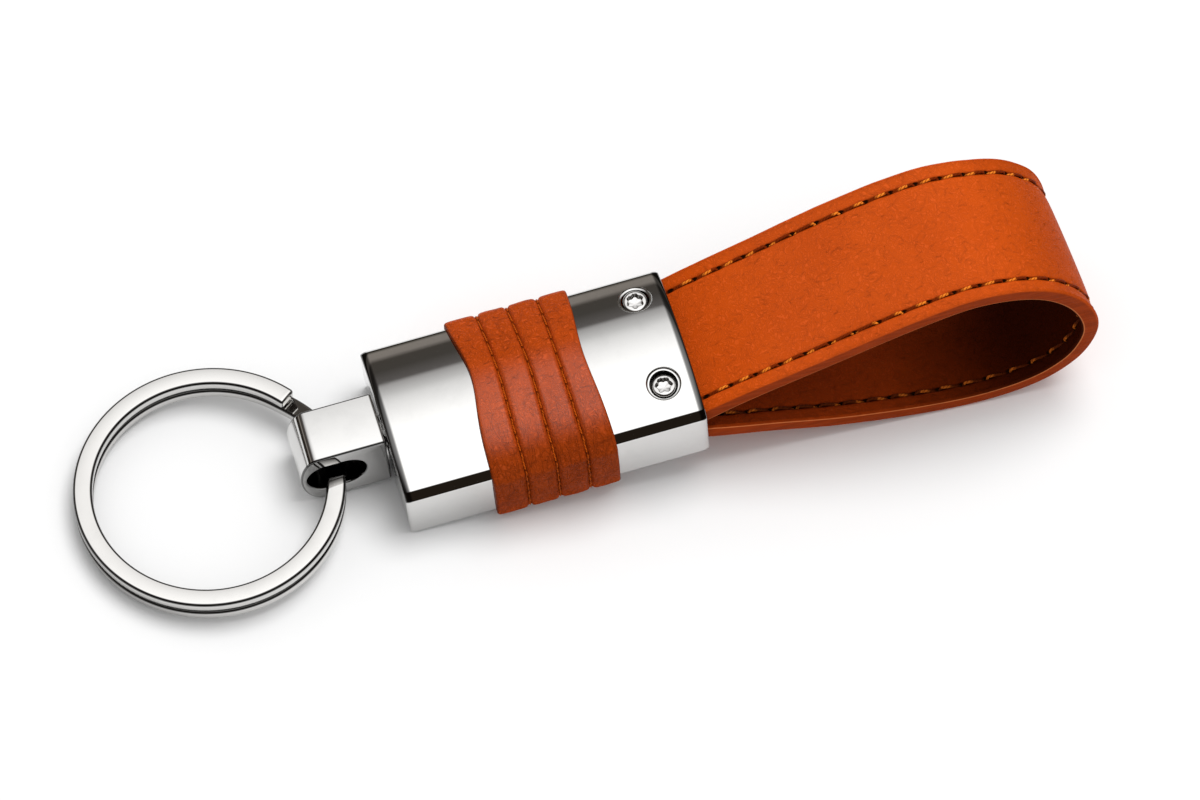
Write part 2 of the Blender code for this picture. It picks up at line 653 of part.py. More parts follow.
def ring_path():
    """The wire's middle line about the ring's centre: a lower turn, a short climb and an upper turn."""
    climb = math.radians(RING_CLIMB_DEGREES)
    turn = FULL_TURN - climb - math.radians(RING_END_GAP_DEGREES)
    angle = np.concatenate([np.linspace(0.0, turn, RING_TURN_STEPS, endpoint=False),
                            np.linspace(turn, turn + climb, RING_CLIMB_STEPS, endpoint=False),
                            np.linspace(turn + climb, 2.0 * turn + climb, RING_TURN_STEPS + 1)])
    share = np.clip((angle - turn) / climb, 0.0, 1.0)
    height = RING_PITCH * (share * share * (3.0 - 2.0 * share) - 0.5)
    bearing = math.radians(RING_START_DEGREES) - angle
    return np.stack([RING_MID_RADIUS * np.cos(bearing), RING_MID_RADIUS * np.sin(bearing), height], axis=1)


def least_turn_gap(path):
    """The smallest distance between the wire's two turns, measured between points of the middle line."""
    skipped = len(path) // 4
    apart = [np.linalg.norm(path[i + skipped:] - path[i], axis=1).min() for i in range(len(path) - skipped)]
    return min(apart) - RING_WIRE_THICKNESS


def make_ring(frame, tilt):
    """The split ring, hinged in the shackle's slot, with its far side down on the table."""
    half_w = 0.5 * RING_WIRE_WIDTH
    half_t = 0.5 * RING_WIRE_THICKNESS
    edge = RING_WIRE_CHAMFER
    corners = [(half_w, half_t - edge), (half_w - edge, half_t), (edge - half_w, half_t),
               (-half_w, half_t - edge)]
    section = corners + [(-x, -z) for x, z in corners]
    seated = (SLOT_FLOOR + RING_SEAT_GAP - RING_HINGE_Z) / math.cos(tilt) + 0.5 * RING_HEIGHT
    path = ring_path()
    print("least gap between the ring's turns, in metres:", round(float(least_turn_gap(path)), 6))
    centre = np.array([RING_HINGE_SHIFT - RING_MID_RADIUS, -RING_SIDE_OFFSET, seated])
    ring = swept("split_ring", path + centre, section)
    place(ring, frame, RING_METAL, (RING_HINGE_X, 0.0, RING_HINGE_Z), (0.0, tilt, 0.0))
    return smooth(ring)


def make_strap(frame):
    """Both plies of the loop and the filler between its legs, drilled for the clamp screws."""
    upright = (QUARTER_TURN, 0.0, 0.0)
    first = leg_route(0.5 * PLY_THICKNESS)
    second = leg_route(1.5 * PLY_THICKNESS + PLY_GAP)
    outer = place(swept("strap_outer_ply", first, ply_section(True)), frame, LOOP_LEATHER, rotation=upright)
    inner = swept("strap_lining", second, ply_section(False))
    lining = place(inner, frame, LINING_LEATHER, rotation=upright)
    half = 0.5 * FILLER_THICKNESS
    edge = 0.5 * STRAP_WIDTH
    filler = box("strap_filler", (STRAP_END_INSET, -edge, LEG_MID - half),
                 (HOUSING_LENGTH - OVERRUN, edge, LEG_MID + half), frame)
    filler.data.materials.append(FILLER_BOARD)
    for name, y in screw_places():
        hole = cylinder_cutter("strap_hole_" + name, SCREW_BORE_RADIUS, (SCREW_X, y, 0.0),
                               (SCREW_X, y, CAVITY_TOP + OVERRUN), frame)
        for piece in (outer, lining, filler):
            cut(piece, hole)
    smooth(outer)
    smooth(lining)


def make_stitching(frame):
    """The loop's four threads: needle thread on the outer face and bobbin thread inside, near and far."""
    row = 0.5 * STRAP_WIDTH - STITCH_INSET
    floor = CHANNEL_DEPTH - THREAD_GAP - STITCH_RADIUS
    leg = 2.0 * PLY_THICKNESS + PLY_GAP
    clear = THREAD_START_GAP + HOUSING_LENGTH
    for face, crown, hole in (("outer", floor - STITCH_DIP, floor),
                              ("inner", leg - floor + STITCH_DIP, leg - floor)):
        lines = []
        for depth in (crown, hole):
            line = inward(loop_outline(), depth)
            lines.append(resampled(line[line[:, 0] > clear], LOOP_STEPS))
        route = stitched(lines, STITCH_PITCH, STITCH_DIP)
        for name, y in (("far", row), ("near", -row)):
            points = np.stack([route[:, 0], np.full(len(route), y), route[:, 1]], axis=1)
            place(thread("stitch_" + face + "_" + name, [points], STITCH_RADIUS), frame, THREAD)


def make_band(frame):
    """The leather band round the housing and the thread in each of its grooves."""
    around = (QUARTER_TURN, 0.0, QUARTER_TURN)
    route = wrapped_route(BAND_MID_OFFSET)
    narrowing = 1.0 - BAND_WAIST_SHARE * crest(route)
    band = swept("leather_band", over_crown(route, 0.0), band_section(), narrowing)
    smooth(place(band, frame, BAND_LEATHER, (BAND_CENTRE, 0.0, 0.0), around))
    floor = BAND_SEAT_GAP + BAND_THICKNESS - BAND_GROOVE_DEPTH
    low = wrapped_route(floor + THREAD_GAP + BAND_THREAD_RADIUS)
    high = wrapped_route(floor + THREAD_GAP + BAND_THREAD_RADIUS + BAND_THREAD_DIP)
    path = stitched([high, low], BAND_THREAD_PITCH, BAND_THREAD_DIP)
    for number, groove in enumerate((-BAND_GROOVE_SPACING, 0.0, BAND_GROOVE_SPACING), start=1):
        strand = thread("band_thread_" + str(number), [over_crown(path, groove)], BAND_THREAD_RADIUS)
        place(strand, frame, THREAD, (BAND_CENTRE, 0.0, 0.0), around)


def main():
    """Builds the keychain from the housing outwards."""
    tilt = rest_tilt()
    frame = make_frame(tilt)
    make_housing(frame)
    for name, y in screw_places():
        make_screw(name, y, frame)
    make_swivel(frame)
    make_shackle(frame)
    make_ring(frame, ring_tilt(tilt))
    make_strap(frame)
    make_stitching(frame)
    make_band(frame)
    set_down(frame)


main()
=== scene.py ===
"""Dressed model of a leather keychain lying on a pale table.

Lengths are in metres. The pieces are worked out in the keychain's own frame, which has +X from the split ring
to the leather loop, Z up from the housing's flat underside and its zero at the housing's ring-side end. They
are then tipped and moved onto the table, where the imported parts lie.
"""

import json
import logging
import math
from collections.abc import Sequence
from dataclasses import dataclass, field
from enum import Enum

import bmesh
import bpy
import numpy as np
from mathutils import Matrix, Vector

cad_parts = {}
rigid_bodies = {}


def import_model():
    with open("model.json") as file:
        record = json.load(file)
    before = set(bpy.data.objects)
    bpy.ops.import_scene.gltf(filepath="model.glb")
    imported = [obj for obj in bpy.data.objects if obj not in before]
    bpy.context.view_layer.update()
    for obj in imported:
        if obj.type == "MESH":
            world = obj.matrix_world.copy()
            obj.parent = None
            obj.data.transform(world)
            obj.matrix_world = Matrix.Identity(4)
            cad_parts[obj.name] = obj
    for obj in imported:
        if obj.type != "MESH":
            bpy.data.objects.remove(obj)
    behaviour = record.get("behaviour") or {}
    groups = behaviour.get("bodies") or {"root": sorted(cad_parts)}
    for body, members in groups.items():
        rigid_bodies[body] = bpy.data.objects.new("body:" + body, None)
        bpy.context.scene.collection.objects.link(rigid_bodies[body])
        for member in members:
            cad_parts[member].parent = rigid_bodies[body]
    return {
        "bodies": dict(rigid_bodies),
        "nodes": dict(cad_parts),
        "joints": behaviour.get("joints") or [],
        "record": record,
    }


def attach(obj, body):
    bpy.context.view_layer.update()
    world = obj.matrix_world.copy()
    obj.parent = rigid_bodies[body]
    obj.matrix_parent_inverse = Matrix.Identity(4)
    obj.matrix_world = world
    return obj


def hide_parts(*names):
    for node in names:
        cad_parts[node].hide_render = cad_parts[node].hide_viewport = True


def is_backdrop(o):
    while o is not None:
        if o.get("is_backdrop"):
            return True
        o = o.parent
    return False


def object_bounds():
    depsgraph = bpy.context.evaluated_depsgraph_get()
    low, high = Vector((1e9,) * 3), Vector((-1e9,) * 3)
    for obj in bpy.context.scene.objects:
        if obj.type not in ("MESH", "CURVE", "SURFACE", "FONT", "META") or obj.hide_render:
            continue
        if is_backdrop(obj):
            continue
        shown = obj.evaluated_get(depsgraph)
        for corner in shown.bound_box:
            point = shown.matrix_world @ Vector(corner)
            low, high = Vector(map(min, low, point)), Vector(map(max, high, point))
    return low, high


LOG = logging.getLogger("leather_keychain")
MM = 0.001
TURN = 2.0 * math.pi
SLIVER = 0.001 * MM
Socket = bpy.types.NodeSocket
Triple = tuple[float, float, float]
Colour = Triple
Feeds = dict[str | int, object]
Knots = tuple[float, ...]
Array = np.ndarray
Lines = tuple[np.ndarray, np.ndarray]
Piece = bpy.types.Object


@dataclass(frozen=True)
class Rest:
    """How the keychain lies on the table: tipped about the table's Y axis, then moved."""

    tilt: float = math.radians(7.376420742)
    x: float = -0.022737596
    y: float = 0.000877031
    z: float = 0.0000243057

    def matrix(self) -> Array:
        """The 3 x 3 turn from the keychain's frame to the table's."""
        cos, sin = math.cos(self.tilt), math.sin(self.tilt)
        return np.array([[cos, 0.0, -sin], [0.0, 1.0, 0.0], [sin, 0.0, cos]])

    def place(self, points: Array) -> Array:
        """Points of the keychain's frame, in the table's frame."""
        return np.asarray(points) @ self.matrix().T + np.array([self.x, self.y, self.z])

    def turn(self, directions: Array) -> Array:
        """Directions of the keychain's frame, in the table's frame."""
        return np.asarray(directions) @ self.matrix().T


REST = Rest()


class Body(Enum):
    """The bodies that the pieces ride on."""

    HOUSING = "housing_body"
    SHACKLE = "shackle_body"
    RING = "ring_body"


@dataclass
class Skin:
    """Points, faces and surface coordinates of a piece before it becomes a mesh.

    Attributes:
        points: places in the keychain's frame, one row each.
        faces: point numbers, four a row; a triangle repeats its last point.
        coords: (along, across) of every corner, in millimetres, in the order of the faces.
    """

    points: Array
    faces: Array
    coords: Array

    def outward(self) -> "Skin":
        """The same closed skin, turned inside out if the volume that its faces enclose is negative."""
        a, b, c, d = (self.points[self.faces[:, k]] for k in range(4))
        volume = np.einsum("ij,ij->i", a, np.cross(b, c)) + np.einsum("ij,ij->i", a, np.cross(c, d))
        if volume.sum() >= 0.0:
            return self
        return Skin(self.points, self.faces[:, ::-1], self.coords[:, ::-1])

    def mesh(self, name: str, sharp_degrees: float = 40.0) -> Piece:
        """A smooth-shaded object of this skin on the table.

        Args:
            name: the object's name.
            sharp_degrees: edges that turn by more than this stay sharp.

        Returns:
            The new object, at the origin, with its place in its mesh.
        """
        skin = self.outward()
        data = bpy.data.meshes.new(name)
        keep = np.ones_like(skin.faces, dtype=bool)
        keep[skin.faces[:, 3] == skin.faces[:, 2], 3] = False
        keep[skin.faces[:, 0] == skin.faces[:, 1], 0] = False
        counts = keep.sum(axis=1)
        corners = skin.faces[keep]
        data.vertices.add(len(skin.points))
        data.vertices.foreach_set("co", REST.place(skin.points).ravel())
        data.loops.add(len(corners))
        data.loops.foreach_set("vertex_index", corners)
        data.polygons.add(len(counts))
        data.polygons.foreach_set("loop_start", np.concatenate([[0], np.cumsum(counts)[:-1]]))
        data.update(calc_edges=True)
        data.validate()
        layer = data.uv_layers.new(name="Surface")
        layer.data.foreach_set("uv", skin.coords[keep].ravel())
        data.shade_smooth()
        data.set_sharp_from_angle(angle=math.radians(sharp_degrees))
        return linked(name, data)


def linked(name: str, data: bpy.types.ID) -> Piece:
    """A new object in the scene with the given data."""
    made = bpy.data.objects.new(name, data)
    bpy.context.scene.collection.objects.link(made)
    return made


def placing(axes: Array, place: Array) -> Matrix:
    """The matrix that places an object by its three axes, one row each, and its place."""
    matrix = np.eye(4)
    matrix[:3, :3] = np.transpose(axes)
    matrix[:3, 3] = place
    return Matrix(matrix.tolist())


def lattice(rows: int, columns: int, wrap_rows: bool) -> Lines:
    """Faces of a grid of points whose last column meets the first.

    Args:
        rows: points the long way.
        columns: points the short way.
        wrap_rows: whether the last row meets the first.

    Returns:
        The point numbers of each face, and the (row, column) of each corner counted without wrapping.
    """
    i, j = np.meshgrid(np.arange(rows - (not wrap_rows)), np.arange(columns), indexing="ij")
    steps = np.array([[0, 0], [0, 1], [1, 1], [1, 0]])
    row = i.ravel()[:, None] + steps[:, 0]
    column = j.ravel()[:, None] + steps[:, 1]
    return (row % rows) * columns + column % columns, np.stack([row, column], axis=2)


def grid_skin(grid: Array, along: Array, across: Array, wrap_rows: bool = False) -> Skin:
    """A closed skin over a grid of points, with its open ends closed by fans about their middles.

    Args:
        grid: the points as (rows, columns, 3), whose last column meets the first.
        along: the first surface coordinate of each row, one more than the rows where these wrap.
        across: the second one of each column, one more than the columns.
        wrap_rows: whether the last row meets the first.

    Returns:
        The skin.
    """
    rows, columns = grid.shape[:2]
    faces, cells = lattice(rows, columns, wrap_rows)
    coords = np.stack([np.asarray(along)[cells[..., 0]], np.asarray(across)[cells[..., 1]]], axis=2)
    skin = Skin(grid.reshape(-1, 3), faces, coords)
    if wrap_rows:
        return skin
    for row, order in ((0, [1, 0, 2, 2]), (rows - 1, [0, 1, 2, 2])):
        rim = row * columns + np.arange(columns)
        after = row * columns + (np.arange(columns) + 1) % columns
        fan = np.stack([rim, after, np.full(columns, len(skin.points))], axis=1)[:, order]
        place = np.stack([np.full(columns, along[row]), np.asarray(across)[:columns]], axis=1)
        middle = grid[row].mean(axis=0, keepdims=True)
        corner = np.repeat(place[:, None, :], 4, axis=1)
        skin = Skin(np.vstack([skin.points, middle]), np.vstack([skin.faces, fan]),
                    np.vstack([skin.coords, corner]))
    return skin


def tube_skin(path: Array, upright: Array, radius: float, sides: int) -> Skin:
    """A closed tube: at each point of the path a ring of points about the path's direction.

    Args:
        path: the middle line.
        upright: a direction at each point, roughly square to the path, from which the ring is counted.
        radius: the tube's radius.
        sides: points in a ring.

    Returns:
        The skin, whose coordinates are the way along the path and the way round it, in millimetres and turns.
    """
    tangent = np.gradient(path, axis=0)
    tangent /= np.linalg.norm(tangent, axis=1)[:, None]
    side = np.cross(tangent, upright)
    side /= np.linalg.norm(side, axis=1)[:, None]
    up = np.cross(side, tangent)
    angle = np.linspace(0.0, TURN, sides, endpoint=False)
    ring = np.cos(angle)[None, :, None] * up[:, None, :] + np.sin(angle)[None, :, None] * side[:, None, :]
    grid = path[:, None, :] + radius * ring
    return grid_skin(grid, walked_lengths(path) / MM, np.arange(sides + 1) / sides)


def smooth_share(value: Array, low: float, high: float) -> Array:
    """The share of the way from low to high, eased at both ends and held beyond them."""
    share = np.clip((value - low) / (high - low), 0.0, 1.0)
    return share * share * (3.0 - 2.0 * share)


def walked_lengths(path: Array) -> Array:
    """The way walked along a path at each of its points."""
    return np.concatenate([[0.0], np.cumsum(np.linalg.norm(np.diff(path, axis=0), axis=1))])


def at_places(places: Array, walked: Array, rows: Array) -> Array:
    """Rows of numbers known along a walked path, read off at other places on it."""
    return np.stack([np.interp(places, walked, column) for column in rows.T], axis=1)


def resampled(path: Array, count: int) -> Array:
    """The same path with evenly spaced points, one more than count."""
    walked = walked_lengths(path)
    return at_places(np.linspace(0.0, walked[-1], count + 1), walked, path)


def spline_through(points: Array, steps: int) -> Array:
    """A smooth path through the points, each span a cubic whose slopes follow the neighbouring points.

    Args:
        points: the points that the path passes.
        steps: path points a span.

    Returns:
        The path's points.
    """
    ends = np.vstack([2.0 * points[:1] - points[1:2], points, 2.0 * points[-1:] - points[-2:-1]])
    share = np.linspace(0.0, 1.0, steps, endpoint=False)[None, :, None]
    before, start, end, after = (ends[k:len(ends) - 3 + k][:, None, :] for k in range(4))
    slope_a, slope_b = 0.5 * (end - before), 0.5 * (after - start)
    bend = 3.0 * (end - start) - 2.0 * slope_a - slope_b
    rest = 2.0 * (start - end) + slope_a + slope_b
    spans = start + share * (slope_a + share * (bend + share * rest))
    return np.vstack([spans.reshape(-1, points.shape[1]), points[-1:]])


def turned_skin(profile: Sequence[Sequence[float]], centre: Sequence[float], axis: int,
                steps: int = 96) -> Skin:
    """A turned solid: a closed profile of (radius, height) carried round an axis.

    Args:
        profile: the profile; where it starts and ends on the axis the poles are closed by fans.
        centre: a point on the axis.
        axis: 0 where the axis is X, 2 where it is Z.
        steps: points in a turn.

    Returns:
        The skin.
    """
    angle = np.linspace(0.0, TURN, steps, endpoint=False)
    profile = np.asarray(profile)
    radius, height = profile.T
    first = radius[:, None] * np.cos(angle)
    second = radius[:, None] * np.sin(angle)
    level = np.repeat(height[:, None], steps, axis=1)
    grid = np.stack([first, second, level] if axis == 2 else [level, first, second], axis=2)
    closed = bool(radius[0] > 0.0)
    along = walked_lengths(profile) / MM
    along = np.append(along, along[-1]) if closed else along
    return grid_skin(grid + np.asarray(centre), along, np.arange(steps + 1) / steps, wrap_rows=closed)


def quarter(count: int) -> Array:
    """Evenly spaced angles of a quarter turn."""
    return np.linspace(0.0, 0.5 * math.pi, count)


def eased_edge(radius: float, count: int) -> Lines:
    """How far the points of a quarter-round edge lie behind its two faces, from the first face to the second.

    Args:
        radius: the edge's radius.
        count: its points.

    Returns:
        The radius less its sine share, and the radius less its cosine share.
    """
    return radius * (1.0 - np.sin(quarter(count))), radius * (1.0 - np.cos(quarter(count)))


def rounded_corner(before: Array, corner: Array, after: Array, radius: float, steps: int) -> Lines:
    """A fillet in a corner of an outline that is walked with its outside on the right.

    Args:
        before: a point ahead of the corner.
        corner: the corner.
        after: a point past it.
        radius: the fillet's radius.
        steps: fillet points, less one.

    Returns:
        The fillet's points and their outward directions.
    """
    into = (corner - before) / np.linalg.norm(corner - before)
    out = (after - corner) / np.linalg.norm(after - corner)
    outward_a = np.array([into[1], -into[0]])
    outward_b = np.array([out[1], -out[0]])
    centre = corner - radius * (outward_a + outward_b) / (1.0 + outward_a @ outward_b)
    start = math.atan2(outward_a[1], outward_a[0])
    sweep = math.atan2(out[1], out[0]) - math.atan2(into[1], into[0])
    angle = start + np.linspace(0.0, (sweep + math.pi) % TURN - math.pi, steps + 1)
    direction = np.stack([np.cos(angle), np.sin(angle)], axis=1)
    return centre + radius * direction, direction


def rounded_outline(corners: Array, radius: float, steps: int) -> Lines:
    """A closed outline with a fillet in each corner.

    Args:
        corners: its corners, walked with its outside on the right.
        radius: the fillets' radius.
        steps: points in a fillet, less one.

    Returns:
        The points and their outward directions.
    """
    around = zip(np.roll(corners, 1, axis=0), corners, np.roll(corners, -1, axis=0))
    parts = [rounded_corner(before, corner, after, radius, steps) for before, corner, after in around]
    return np.vstack([p for p, _ in parts]), np.vstack([n for _, n in parts])


def shaded(colour: Sequence[float], share: float) -> tuple[float, ...]:
    """A colour made darker, to a share of its light."""
    return tuple(share * c for c in colour)


class Wiring:
    """Adds shader nodes to a tree and links them, one call a node."""

    def __init__(self, tree: bpy.types.NodeTree) -> None:
        """Starts with a tree that is to be filled."""
        self.tree = tree

    def node(self, kind: str, inputs: Feeds | None = None, **settings: object) -> bpy.types.Node:
        """Adds a node.

        Args:
            kind: the node's type name, without its leading "ShaderNode".
            inputs: by name or number, the socket that feeds an input, or its value.
            settings: the node's own settings.

        Returns:
            The node.
        """
        made = self.tree.nodes.new("ShaderNode" + kind)
        for name, value in settings.items():
            setattr(made, name, value)
        self.feed(made, inputs or {})
        return made

    def feed(self, node: bpy.types.Node, inputs: Feeds) -> None:
        """Links sockets to a node's inputs, or sets the inputs' values.

        Args:
            node: the node.
            inputs: by name or number, the socket that feeds an input, or its value.
        """
        for key, value in inputs.items():
            target = node.inputs[key]
            if isinstance(value, Socket):
                self.tree.links.new(value, target)
            elif isinstance(value, tuple) and target.type == "RGBA":
                target.default_value = (*value, 1.0)
            else:
                target.default_value = value

    def math(self, operation: str, a: object, b: object = 0.0, c: object = 0.0) -> Socket:
        """One step with numbers."""
        return self.node("Math", {0: a, 1: b, 2: c}, operation=operation).outputs[0]

    def times(self, a: object, b: object, plus: object = None) -> Socket:
        """The product of two numbers, with a third one added where it is given."""
        return self.math("MULTIPLY", a, b) if plus is None else self.math("MULTIPLY_ADD", a, b, plus)

    def less(self, a: object, b: object) -> Socket:
        """The first number less the second."""
        return self.math("SUBTRACT", a, b)

    def off(self, value: object, place: object) -> Socket:
        """How far a number lies from a place."""
        return self.math("ABSOLUTE", self.less(value, place))

    def span(self, value: object, low: float, high: float, start: float = 0.0, end: float = 1.0) -> Socket:
        """A value mapped from the span low to high onto start to end, eased, and held there."""
        made = self.node("MapRange", {"Value": value, "From Min": low, "From Max": high, "To Min": start,
                                      "To Max": end}, interpolation_type="SMOOTHSTEP")
        return made.outputs["Result"]

    def noise(self, vector: object, scale: float, detail: float = 2.0, rough: float = 0.5,
              distortion: float = 0.0) -> Socket:
        """Soft noise, whose scale is in cells a metre on object coordinates."""
        made = self.node("TexNoise", {"Vector": vector, "Scale": scale, "Detail": detail, "Roughness": rough,
                                      "Distortion": distortion})
        return made.outputs["Fac"]

    def mixed(self, share: object, a: object, b: object) -> Socket:
        """Two colours mixed by a share."""
        return self.node("Mix", {0: share, 6: a, 7: b}, data_type="RGBA").outputs[2]

    def mapped(self, vector: object, scale: Triple, rotation: Triple = (0.0, 0.0, 0.0)) -> Socket:
        """A vector turned, then stretched."""
        made = self.node("Mapping", {"Vector": vector, "Scale": scale, "Rotation": rotation})
        return made.outputs["Vector"]

    def place(self) -> Socket:
        """Object coordinates."""
        return self.node("TexCoord").outputs["Object"]

    def surface(self) -> tuple[Socket, Socket]:
        """The piece's own coordinates: along and across, in millimetres."""
        parts = self.node("SeparateXYZ", {0: self.node("UVMap", uv_map="Surface").outputs["UV"]})
        return parts.outputs["X"], parts.outputs["Y"]

    def bump(self, height: object, depth: float, strength: float = 1.0) -> Socket:
        """A bump whose full height is the given depth."""
        made = self.node("Bump", {"Height": height, "Strength": strength, "Distance": depth})
        return made.outputs["Normal"]


def new_group(name: str, inputs: dict[str, tuple[str, float]], outputs: dict[str, str]
              ) -> tuple[bpy.types.NodeTree, Wiring, bpy.types.Node, bpy.types.Node]:
    """A new shader node group with its sockets.

    Args:
        name: the group's name.
        inputs: socket kind ("Vector" or "Float") and value of each input, by name.
        outputs: socket kind of each output, by name.

    Returns:
        The group, its wiring, and its input and output nodes.
    """
    tree = bpy.data.node_groups.new(name, "ShaderNodeTree")
    for key, (kind, value) in inputs.items():
        made = tree.interface.new_socket(name=key, in_out="INPUT", socket_type="NodeSocket" + kind)
        if kind == "Float":
            made.default_value = value
    for key, kind in outputs.items():
        tree.interface.new_socket(name=key, in_out="OUTPUT", socket_type="NodeSocket" + kind)
    return tree, Wiring(tree), tree.nodes.new("NodeGroupInput"), tree.nodes.new("NodeGroupOutput")


def hide_grain_group() -> bpy.types.NodeTree:
    """Leather grain: a maze of fine curled ridges and furrows, fine pores and broad clouding.

    The ridges are the crests of the sine of a multiple of a noise, whose place a second noise pushes about.
    The furrows are its troughs, and a third noise lets both fade here and there.

    Returns:
        The group, with Height, Mark (the ridges), Seam (the furrows) and Cloud outputs.
    """
    group, w, start, end = new_group(
        "hide_grain", {"Vector": ("Vector", 0.0), "Scale": ("Float", 1000.0), "Curl": ("Float", 1.0)},
        {"Height": "Float", "Mark": "Float", "Seam": "Float", "Cloud": "Float"})
    vector, scale, curl = (start.outputs[k] for k in ("Vector", "Scale", "Curl"))
    near = w.node("VectorMath", {0: vector, "Scale": scale}, operation="SCALE").outputs["Vector"]
    warp = w.node("TexNoise", {"Vector": near, "Scale": 1.3, "Detail": 1.0}).outputs["Color"]
    centred = w.node("VectorMath", {0: warp, 1: (0.5, 0.5, 0.5)}, operation="SUBTRACT").outputs["Vector"]
    pushed = w.node("VectorMath", {0: centred, "Scale": curl}, operation="SCALE").outputs["Vector"]
    moved = w.node("VectorMath", {0: near, 1: pushed}, operation="ADD").outputs["Vector"]
    wave = w.math("SINE", w.times(w.noise(moved, 1.0, 1.0, 0.35), 27.0 * math.pi))
    fade = w.span(w.noise(near, 0.7, 1.0), 0.32, 0.56, 0.60, 1.0)
    mark = w.times(w.span(wave, 0.35, 0.95), fade)
    seam = w.times(w.span(wave, -0.25, -0.9), fade)
    fine = w.noise(near, 6.0, 2.0, 0.6)
    height = w.times(fine, 0.20, w.times(mark, 0.34))
    height = w.times(w.noise(moved, 1.6, 1.0), 0.12, height)
    height = w.less(height, w.times(seam, 0.10))
    cloud = w.noise(near, 0.11, 3.0, 0.55)
    w.feed(end, {"Height": height, "Mark": mark, "Seam": seam, "Cloud": cloud})
    return group


def handling_group() -> bpy.types.NodeTree:
    """Light wear of polished metal: hair scratches in two directions and faint smudges.

    Returns:
        The group, with Scratch and Smudge outputs.
    """
    group, w, start, end = new_group("handling", {"Vector": ("Vector", 0.0)},
                                     {"Scratch": "Float", "Smudge": "Float"})
    vector = start.outputs["Vector"]
    first = w.noise(w.mapped(vector, (700.0, 16000.0, 9000.0), (0.2, 0.1, 0.5)), 1.0, 2.0, 0.6, 0.4)
    second = w.noise(w.mapped(vector, (12000.0, 600.0, 9000.0), (0.1, 0.3, -0.3)), 1.0, 2.0, 0.6, 0.4)
    scratch = w.math("MAXIMUM", w.span(first, 0.64, 0.72), w.span(second, 0.66, 0.74))
    smudge = w.span(w.noise(vector, 260.0, 4.0, 0.62, 0.3), 0.48, 0.68)
    w.feed(end, {"Scratch": scratch, "Smudge": smudge})
    return group


@dataclass
class Effects:
    """The node groups that several finishes share, built once."""

    grain: bpy.types.NodeTree = field(default_factory=hide_grain_group)
    handling: bpy.types.NodeTree = field(default_factory=handling_group)


def new_material(name: str) -> tuple[bpy.types.Material, Wiring, bpy.types.Node]:
    """A material with a Principled shader.

    Args:
        name: the material's name.

    Returns:
        The material, its wiring and its shader node.
    """
    made = bpy.data.materials.new(name)
    made.use_nodes = True
    return made, Wiring(made.node_tree), made.node_tree.nodes["Principled BSDF"]


@dataclass(frozen=True)
class PlatedMetal:
    """Bright plated metal with faint handling marks."""

    name: str
    colour: Colour = (0.66, 0.655, 0.645)
    roughness: float = 0.045
    smudged: float = 0.02
    scratched: float = 0.10
    # how far rounded edges, side faces and slots are darkened: painted shade standing in for their dark
    # reflections
    painted_shade: float = 0.0

    def build(self, effects: Effects) -> bpy.types.Material:
        """The metal's material: smudges and scratches lift the roughness, and the edges get painted shade,
        darkened in colour to stand in for their dark reflections.

        The product of the piece's two surface coordinates is one on its rounded edges and zero on its faces.

        Args:
            effects: the shared node groups.

        Returns:
            The material.
        """
        material, w, shader = new_material(self.name)
        marks = w.node("Group", {"Vector": w.place()}, node_tree=effects.handling)
        smudge, scratch = (marks.outputs[k] for k in ("Smudge", "Scratch"))
        colour = w.mixed(smudge, self.colour, shaded(self.colour, 0.97))
        # Painted shade: the colour darkens where the product of the surface coordinates marks rounded edges,
        # side faces or a slot, standing in for dark reflections and shade there.
        if self.painted_shade > 0.0:
            along, across = w.surface()
            edge = w.span(w.times(along, across), 0.15, 0.75, 0.0, self.painted_shade)
            colour = w.mixed(edge, colour, shaded(self.colour, 0.06))
        rough = w.times(scratch, self.scratched, w.times(smudge, self.smudged, self.roughness))
        w.feed(shader, {"Base Color": colour, "Metallic": 1.0, "Roughness": rough,
                        "Normal": w.bump(w.times(scratch, -0.003), 0.02 * MM, 0.3)})
        return material


@dataclass(frozen=True)
class PlainSteel:
    """Turned steel that the housing hides, with fine tool marks."""

    name: str = "turned_steel"
    colour: Colour = (0.50, 0.50, 0.49)

    def build(self, effects: Effects) -> bpy.types.Material:
        """The steel's material.

        Args:
            effects: the shared node groups.

        Returns:
            The material.
        """
        material, w, shader = new_material(self.name)
        marks = w.node("Group", {"Vector": w.place()}, node_tree=effects.handling)
        lathe = w.noise(w.mapped(w.place(), (9000.0, 500.0, 500.0)), 1.0, 2.0)
        w.feed(shader, {"Base Color": w.mixed(lathe, self.colour, shaded(self.colour, 0.8)), "Metallic": 1.0,
                        "Roughness": w.times(marks.outputs["Smudge"], 0.1, 0.28),
                        "Normal": w.bump(lathe, 0.01 * MM, 0.4)})
        return material


@dataclass(frozen=True)
class Seam:
    """Where a piece's sewn rows lie on its surface coordinates, in millimetres."""

    rows: tuple[float, ...]
    pitch: float
    groove: float
    hole: float
    mirrored: bool = True
    phase: float = 0.0


